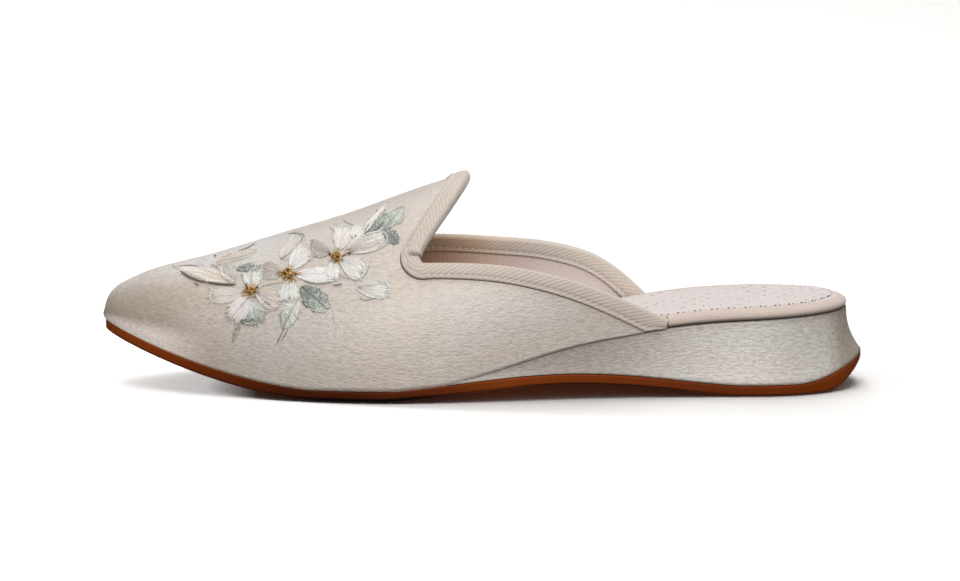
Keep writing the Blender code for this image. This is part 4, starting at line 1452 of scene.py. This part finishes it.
def build_insole_stitches():
    """Pairs of dark stitches along the lateral edge, pale ones elsewhere, and a staggered grid inside."""
    shape = Shape()
    line, inward, edge_in, run = insole_outline()
    line = line + inward * in_band(edge_in, EDGE_ROW_INSET)[:, None]
    places = np.arange(EDGE_STITCH_ENDS, run[-1] - EDGE_STITCH_ENDS, EDGE_STITCH_PITCH)
    for start, length, thick, colour in EDGE_STITCHES:
        starts, ends = follow(places + start, run, line), follow(places + start + length, run, line)
        near = (starts[:, 1] < 0) & (starts[:, 0] < DARK_STITCH_END)
        flat_threads(shape, starts[near], ends[near], thick, colour, EDGE_STITCH_SUNK)
        flat_threads(shape, starts[~near], ends[~near], thick, FAR_STITCH, EDGE_STITCH_SUNK)
    rows = np.arange(-QUILT_ROWS, QUILT_ROWS + 1)
    columns = np.arange(2, int(LAST_END / QUILT_PITCH * 2))
    row, column = (part.ravel() for part in np.meshgrid(rows, columns))
    keep = (row + column) % 2 == 0
    across, along = row[keep] * QUILT_ROW, column[keep] * QUILT_PITCH / 2
    keep = from_edge(along, across) > EDGE_ROW_INSET + QUILT_MARGIN
    centres = np.column_stack([along[keep], across[keep]])
    uneven = np.random.default_rng(QUILT_SEED)
    centres = centres + uneven.normal(0, QUILT_SHIFT, centres.shape)
    half = np.column_stack([uneven.uniform(*QUILT_HALF, len(centres)), np.zeros(len(centres))])
    tint = np.array(PALE_STITCH) * uneven.uniform(*QUILT_SHADE, (len(centres), 1, 1, 1))
    flat_threads(shape, centres - half, centres + half, QUILT_THICK, tint, QUILT_SUNK)
    shape.build("insole_stitches", [thread("insole_thread", 0.7)])


# Soles


def wedge_line(level):
    """Stations of one line round the wedge's wall, and how far this level flares out to the outsole."""
    flare = (1 - level) ** FLARE_POWER
    end = LAST_END + (LENGTH - LAST_END) * flare
    reach = LAST_BACK_ROUND + (OUTSOLE_BACK_ROUND - LAST_BACK_ROUND) * flare
    straight = np.linspace(WEDGE_START, end - reach, STRAIGHT_ROWS)[:-1]
    return np.concatenate([straight, back_stations(end, reach)]), end, flare


def wedge_points(level, side):
    """Points of that line on one side, its stations stretched to the outsole's and the last's ends."""
    stations, end, flare = wedge_line(level)
    stretch = (stations - WEDGE_START) / (end - WEDGE_START)
    below = WEDGE_START + stretch * (LENGTH - WEDGE_START)
    above = WEDGE_START + stretch * (LAST_END - WEDGE_START)
    half = outsole_half(below, side) * flare + last_half(above, side) * (1 - flare)
    low = outsole_top(below) + GAP
    return place(stations, SIDES[side] * half, low + (wedge_top(above) - low) * level)


def build_wedge():
    """Satin-covered wedge: its sides and back curve out to the outsole."""
    levels = np.linspace(0, 1, WEDGE_LEVELS)
    walls = {side: np.stack([wedge_points(level, side) for level in levels], axis=1) for side in SIDES}
    rings = np.concatenate([walls["lateral"], walls["medial"][:, ::-1]], axis=1)
    around = run_along(rings.swapaxes(0, 1)).T
    flat = np.stack([around, rings[..., 2], np.zeros_like(around)], axis=-1)
    # Painted shade: dark at the wedge's top and foot joins, warmer and darker towards its front and back.
    join_shade = TOP_JOIN_SHADE * bell(1 - levels, JOIN_REACH) + FOOT_JOIN_SHADE * bell(levels, JOIN_REACH)
    shade = 1 - np.concatenate([join_shade, join_shade[::-1]])[:, None] * JOIN_SHADE_TINT
    along = rings[..., :1] + LENGTH / 2
    ends = 1 - WEDGE_FRONT_SHADE * onset(along, *WEDGE_FRONT_ZONE) - WEDGE_BACK_SHADE * onset(along, *WEDGE_BACK_ZONE)
    shape = Shape()
    shape.add_rings(rings, flat, shade * ends)
    silver = satin("wedge_satin", (0.445, 0.41, 0.376), (0.465, 0.45, 0.438), 0.70)
    wedge = shape.build("wedge_cover", [silver])
    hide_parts("wedge")
    build_wedge_join_shadows()


def build_wedge_join_shadows():
    """A dark cord of painted shade along the join where the upper is sewn down to the wedge."""
    shape = Shape()
    for side, way in SIDES.items():
        along = np.linspace(WEDGE_SEAM_START, collar_stop(side), SEAM_POINTS)
        normals = last_slopes(along, way)[2][None]
        full = smooth(np.linspace(0, 2, SEAM_POINTS))
        thick = WEDGE_SEAM_THICK * (WEDGE_SEAM_FRONT + (1 - WEDGE_SEAM_FRONT) * full)[None]
        add_threads(shape, last_point(along, way)[None], normals, thick, thick, SEAM_SHADE)
    shape.build("wedge_join_shadows", [thread("wedge_seam_thread", 0.85)])


def tread(along, across, inside):
    """How deep the fine chevron grooves are cut, none near the edge nor under the arch."""
    phase = np.mod((along - TREAD_SLANT * np.abs(across)) / TREAD_PITCH, 1)
    groove = smooth((TREAD_GROOVE - np.abs(phase - 0.5)) / TREAD_WALL)
    edge = smooth((inside - TREAD_MARGIN) / TREAD_BORDER)
    return TREAD_DEPTH * groove * edge * onset(along, *TREAD_TOE) * (1 - hump(along, *TREAD_WAIST))


def build_outsole():
    """Rubber sole: rounded edge, and a fine tread cut into its underside."""
    start = OUTSOLE_TOE_INSET + NOSE
    straight = LENGTH - OUTSOLE_BACK_ROUND
    toe = start + OUTSOLE_TOE * spaced(OUTSOLE_TOE_ROWS, OUTSOLE_TOE_SPACING)[:-1]
    middle = np.arange(start + OUTSOLE_TOE, straight, OUTSOLE_ROW)
    along = np.concatenate([toe, middle, back_stations(LENGTH, OUTSOLE_BACK_ROUND)])[:, None]
    half = {side: outsole_half(along, side) for side in SIDES}
    bottom, thick = outsole_bottom(along), outsole_thickness(along)
    level = spaced(OUTSOLE_SIDE_POINTS - 1, OUTSOLE_SIDE_SPACING)
    inset = UNDERCUT * np.clip(1 - level / UNDERCUT_LEVEL, 0, 1) ** UNDERCUT_POWER
    edges = {}
    for side, way in SIDES.items():
        across = way * np.maximum(half[side] - inset, half[side] / 2)
        edges[side] = place(along, across, bottom + level * thick)
    low = {side: np.abs(edges[side][:, :1, 1] + CENTRE_Y) for side in SIDES}
    share = np.linspace(0, 1, TREAD_POINTS)[1:-1]
    across = low["medial"] - (low["medial"] + low["lateral"]) * share
    inside = np.minimum(half["medial"] - across, half["lateral"] + across)
    cut = tread(along, across, inside)
    under = place(along, across, bottom + np.minimum(cut, thick * TREAD_DEEPEST))
    rings = np.concatenate([edges["lateral"], edges["medial"][:, ::-1], under], axis=1)
    shade = np.ones(rings.shape[:2])
    # Painted shade low on the edge, darkest under the forefoot and the arch; a painted highlight on the rim.
    forefoot, arch = hump(along, *FOREFOOT_ZONE), hump(along, *ARCH_ZONE)
    sole_shade = smooth((SOLE_SHADE_LEVEL - level) / SOLE_SHADE_BLUR + forefoot)
    sole_shade = sole_shade * (SOLE_SHADE + FOREFOOT_SOLE_SHADE * forefoot + ARCH_SOLE_SHADE * arch)
    edge_shade = (1 + RIM_HIGHLIGHT * onset(level, *RIM_HIGHLIGHT_ZONE)) * (1 - sole_shade)
    shade[:, :OUTSOLE_SIDE_POINTS] = edge_shade
    shade[:, OUTSOLE_SIDE_POINTS : 2 * OUTSOLE_SIDE_POINTS] = edge_shade[:, ::-1]
    # Painted light and shade along the edge; warmer where it is darker.
    shade *= np.interp(along / LENGTH, *zip(*SOLE_LIGHT_AND_SHADE))
    shape = Shape()
    shape.add_rings(rings, tint=warmed(shade, SOLE_WARMTH))
    outsole = shape.build("rubber_sole", [rubber()])
    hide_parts("outsole")


# Embroidery


def on_upper(pixels):
    """Points and normals of the upper's cloth where the photo shows these pixels."""
    eye, right, up, ahead = camera_axes()
    focal = LENS / SENSOR * FRAME_WIDTH
    shape = pixels.shape[:-1] + (3,)
    pixels = pixels.reshape(-1, 2)
    rays = focal * ahead + np.outer(pixels[:, 0] - FRAME_WIDTH / 2, right)
    rays = unit(rays + np.outer(FRAME_HEIGHT / 2 - pixels[:, 1], up))
    points, normals = np.empty(rays.shape), np.empty(rays.shape)
    for i, ray in enumerate(rays):
        hit, normal, _, _ = UPPER_SURFACE.ray_cast(Vector(eye), Vector(ray))
        if hit is None:
            abreast = eye - ray * (eye[1] / ray[1])
            hit, normal, _, _ = UPPER_SURFACE.find_nearest(Vector(abreast))
        points[i], normals[i] = hit, normal
    return points.reshape(shape), normals.reshape(shape)


def outline_width(share, point):
    """Share of a petal's full width, this far from its base to its tip. A higher point is sharper."""
    widest = PETAL_BASE / (PETAL_BASE + point)
    full = widest**PETAL_BASE * (1 - widest) ** point
    return share**PETAL_BASE * (1 - share) ** point / full


def motif_pixels(motif, share, across):
    """Photo pixels at shares from base to tip, and at distances to the right of that line."""
    base, tip = np.array(motif.base, float), np.array(motif.tip, float)
    run = tip - base
    aside = np.array((-run[1], run[0])) / np.linalg.norm(run)
    bowed = across + motif.bend * 4 * share * (1 - share)
    return base + share[..., None] * run + bowed[..., None] * aside


def petal_outline(motif, turn):
    """Points round a petal, for turns from -1 and 1 at its base to 0 at its tip."""
    share = np.cos(turn * math.pi / 2) ** PETAL_ROUND
    half = motif.width / 2 * outline_width(share, motif.point)
    return share, np.sign(turn) * half


def fan_stitches(motif):
    """Threads that spread from a petal's base to its outline, every other one a short one."""
    count = int(FAN_DENSITY * math.dist(motif.base, motif.tip) / THREAD_PIXELS)
    share, across = petal_outline(motif, np.linspace(-FAN_TURN, FAN_TURN, count))
    start = np.array(FAN_STARTS)[np.arange(count) % 2]
    reach = 1 + RANDOM.normal(0, FAN_RAGGED, count)
    steps = start[:, None] + (reach - start)[:, None] * np.linspace(0, 1, STITCH_POINTS)
    tone = steps + RANDOM.normal(0, MOTTLING["fan"], steps.shape)
    return motif_pixels(motif, share[:, None] * steps, across[:, None] * steps), tone


def rib_stitches(motif):
    """Threads that slant from a leaf's midrib to its two edges."""
    count = int(RIB_DENSITY * math.dist(motif.base, motif.tip) / THREAD_PIXELS)
    root = np.tile(np.linspace(*RIB_ROOTS, count), 2)
    way = np.repeat((-1.0, 1.0), count)
    leaning = root + RIB_LEAN * (1 - root)
    ragged = 1 + RANDOM.normal(0, RIB_RAGGED, 2 * count)
    half = motif.width / 2 * outline_width(leaning, motif.point) * ragged
    steps = np.linspace(0, 1, STITCH_POINTS)
    share = root[:, None] + (leaning - root)[:, None] * steps
    tone = share + RANDOM.normal(0, MOTTLING["rib"], share.shape)
    return motif_pixels(motif, share, (way * half)[:, None] * steps), tone


def dyed(names):
    """Colours of these threads."""
    return np.array([THREADS[name] for name in names])


def spokes(turn):
    """Directions in the photo at these turns."""
    return np.column_stack([np.cos(turn), np.sin(turn)])


def blended(shades, tone):
    """Colours along a run of named thread colours."""
    return follow(tone, np.linspace(0, 1, len(shades)), dyed(shades))


def sew(shape, motif, uneven):
    """Sews one petal or leaf: padded satin stitches side by side, of unevenly dyed thread."""
    pixels, tone = fan_stitches(motif) if motif.stitch == "fan" else rib_stitches(motif)
    points, normals = on_upper(pixels)
    steps = np.linspace(0, 1, STITCH_POINTS)
    padding = PAD_RISE * np.sin(math.pi * np.clip(steps, *PAD_ENDS)) ** PAD_POWER
    points = points + normals * (motif.layer * LAYER_RISE + padding)[:, None]
    apart = np.linalg.norm(np.gradient(points, axis=0), axis=-1)
    wide = np.clip(THREAD_SHARE * apart, *THREAD_WIDE)
    bright = 1 + RANDOM.normal(0, uneven, len(points))
    tint = blended(motif.shades, tone) * bright[:, None, None]
    if motif.stitch == "fan":
        fading = FADE * onset(steps, *FADE_ZONE)[:, None]
        tint = tint * (1 - fading) + np.array(THREADS["veil"]) * fading
    add_threads(shape, points, normals, wide, THREAD_HIGH, tint[..., None, :], THREAD_SIDES)
    add_loose_stitches(shape, motif)
    if motif.edge:
        turn = np.linspace(-EDGE_TURN, EDGE_TURN, EDGE_POINTS)
        add_cord(shape, motif_pixels(motif, *petal_outline(motif, turn)), motif.edge, EDGE_THICK, motif.layer)


def add_loose_stitches(shape, motif):
    """Short stray stitches over a petal or leaf and just outside its edge."""
    share, across = petal_outline(motif, RANDOM.uniform(-LOOSE_TURN, LOOSE_TURN, LOOSE_STITCHES))
    reach = RANDOM.uniform(*LOOSE_REACH, LOOSE_STITCHES)
    middle = motif_pixels(motif, share * reach, across * reach)
    lean = RANDOM.uniform(0, math.pi, LOOSE_STITCHES)
    half = RANDOM.uniform(*LOOSE_HALF, LOOSE_STITCHES)[:, None] * spokes(lean)
    points, normals = on_upper(middle[:, None] + half[:, None] * np.linspace(-1, 1, 5)[:, None])
    points = points + normals * (motif.layer * LAYER_RISE + PAD_RISE)
    names = RANDOM.choice((*motif.shades, "snow", "pearl", "stone"), LOOSE_STITCHES)
    thick = THREAD_HIGH * LOOSE_THICKER
    add_threads(shape, points, normals, thick, thick, dyed(names)[:, None, None], THREAD_SIDES)


def add_cord(shape, pixels, colour, thick, layer):
    """A stem-stitched line through photo pixels."""
    knots = np.linspace(0, 1, len(pixels))
    fine = np.linspace(0, 1, CORD_POINTS)
    pixels = np.stack([spline(knots, column)(fine) for column in pixels.T], axis=-1)
    points, normals = on_upper(pixels)
    points = points + normals * (layer * LAYER_RISE + PAD_RISE + CORD_LIFT * thick)
    thick = thick * (1 + STEM_SWELL * np.cos(2 * math.pi * run_along(points) / STEM_PITCH))
    add_threads(shape, points[None], normals[None], thick[None], thick[None], THREADS[colour])


def add_stamens(shape, cluster):
    """Fine gold threads that spread from a flower's middle."""
    turn = RANDOM.uniform(0, 2 * math.pi, STAMENS)
    reach = spokes(turn) * np.array(cluster.size) / 2 * RANDOM.uniform(*STAMEN_REACH, (STAMENS, 1))
    for tip in [*(cluster.centre + reach), *cluster.stamens]:
        colour = RANDOM.choice(("gold", "bark", "brass"))
        add_cord(shape, np.linspace(cluster.centre, tip, 4), colour, STAMEN_THICK, STAMEN_LAYER)


def add_beads(shape, cluster):
    """Small metal beads heaped over a flower's middle, and a few along its stamens."""
    count = cluster.beads
    turn, reach = RANDOM.uniform(0, 2 * math.pi, count), np.sqrt(RANDOM.uniform(0, 1, count))
    heap = spokes(turn) * reach[:, None] * np.array(cluster.size) / 2
    pixels = [np.array(cluster.centre) + heap]
    for tip in cluster.stamens:
        strung = np.linspace(cluster.centre, tip, STAMEN_BEADS + 3)[1 : STAMEN_BEADS + 1]
        pixels.append(strung + RANDOM.normal(0, BEAD_SCATTER, strung.shape))
    pixels = np.concatenate(pixels)
    points, normals = on_upper(pixels)
    radius = BEAD * RANDOM.uniform(*BEAD_SIZES, len(points))
    from_middle = np.linalg.norm(pixels - cluster.centre, axis=1) / max(cluster.size) * 2
    lift = BEAD_RISE + HEAP_RISE * np.clip(1 - from_middle, 0, 1)
    centres = points + normals * lift[:, None]
    polar = np.linspace(BEAD_POLE, math.pi - BEAD_POLE, BEAD_RINGS)[:, None]
    turn = circle(BEAD_SIDES)
    sideways = np.sin(polar) * np.cos(turn), np.sin(polar) * np.sin(turn)
    ball = np.stack(np.broadcast_arrays(*sideways, np.cos(polar)), axis=-1)
    names = RANDOM.choice(list(BEAD_METALS), len(points), p=list(BEAD_METALS.values()))
    rings = centres[:, None, None] + radius[:, None, None, None] * ball
    shape.add_rings(rings, tint=dyed(names)[:, None, None])


def gold():
    """Brushed gold beads."""
    made = Finish("bead_gold", Metallic=0.75)
    marks = made.noise((3000, 3000, 3000), 2)
    made.colour(made.mix(marks, (0.85, 0.85, 0.85), WHITE))
    made.rough(marks, 0.25, 0.5)
    return made.material


def build_embroidery():
    silk = thread("embroidery_silk", 0.45)
    for name, motifs, uneven in (("embroidered_leaves", LEAVES, 0.12), ("embroidered_petals", PETALS, 0.09)):
        shape = Shape()
        for motif in motifs:
            sew(shape, motif, uneven)
        shape.build(name, [silk])
    lines = Shape()
    for line in STROKES:
        add_cord(lines, np.array(line.route, float), line.colour, line.thick, line.layer)
    beads = Shape()
    for cluster in CLUSTERS:
        add_stamens(lines, cluster)
        add_beads(beads, cluster)
    lines.build("embroidered_lines", [silk])
    beads.build("gold_beads", [gold()])


# Studio


def build_floor():
    """A wide pale floor at the sole's height. It throws no light back up at the shoe."""
    shape = Shape()
    turn, radius = circle(FLOOR_SIDES), FLOOR_RINGS[:, None]
    height = CAD_BOX[0].z - FLOOR_DROP
    rings = np.broadcast_arrays(radius * np.cos(turn), radius * np.sin(turn), height)
    numbers = shape.add_points(np.stack(rings, axis=-1))
    shape.add_quads(numbers[:, ::-1], wrap=True)
    shape.faces.append(numbers[0].tolist())
    paper = Finish("floor_paper", Roughness=0.9)
    grain = paper.noise((300, 300, 300), 2)
    paper.colour(paper.mix(grain, (0.95, 0.95, 0.95), (0.97, 0.97, 0.97)))
    floor = shape.build("floor", [paper.material], closed=False, stage=True)
    floor.visible_diffuse = False
    floor.visible_glossy = False
    return floor


def aim(thing, location, target):
    thing.location = location
    thing.rotation_euler = (Vector(target) - Vector(location)).to_track_quat("-Z", "Y").to_euler()
    bpy.context.scene.collection.objects.link(thing)


def add_softbox(box, floor):
    light = bpy.data.lights.new(box.name, "AREA")
    light.shape = "RECTANGLE"
    light.size, light.size_y = box.width, box.height
    light.energy = box.power
    softbox = bpy.data.objects.new(box.name, light)
    softbox.visible_camera = False
    aim(softbox, box.location, box.target)
    if box.floor_link:
        lit = bpy.data.collections.new(box.name + "_receivers")
        lit.objects.link(floor)
        lit.collection_objects[0].light_linking.link_state = box.floor_link
        softbox.light_linking.receiver_collection = lit


def camera_axes():
    """Where the camera stands, and the directions that are right, up and ahead in its picture."""
    ahead = np.array((0.0, math.cos(CAMERA_ELEVATION), -math.sin(CAMERA_ELEVATION)))
    right = np.array((1.0, 0.0, 0.0))
    return CAMERA_TARGET - CAMERA_DISTANCE * ahead, right, np.cross(right, ahead), ahead


def build_studio(floor):
    scene = bpy.context.scene
    scene.view_settings.view_transform = "Standard"
    lens = bpy.data.cameras.new("photo_camera")
    lens.lens, lens.sensor_width = LENS, SENSOR
    camera = bpy.data.objects.new("photo_camera", lens)
    aim(camera, camera_axes()[0], CAMERA_TARGET)
    scene.camera = camera
    world = bpy.data.worlds.new("studio")
    world.use_nodes = True
    background = world.node_tree.nodes["Background"].inputs
    background["Color"].default_value = WORLD_COLOUR
    background["Strength"].default_value = WORLD_STRENGTH
    scene.world = world
    for box in SOFTBOXES:
        add_softbox(box, floor)


build_studio(build_floor())
UPPER_SURFACE = build_upper()
build_binding()
build_insole()
build_wedge()
build_outsole()
build_embroidery()
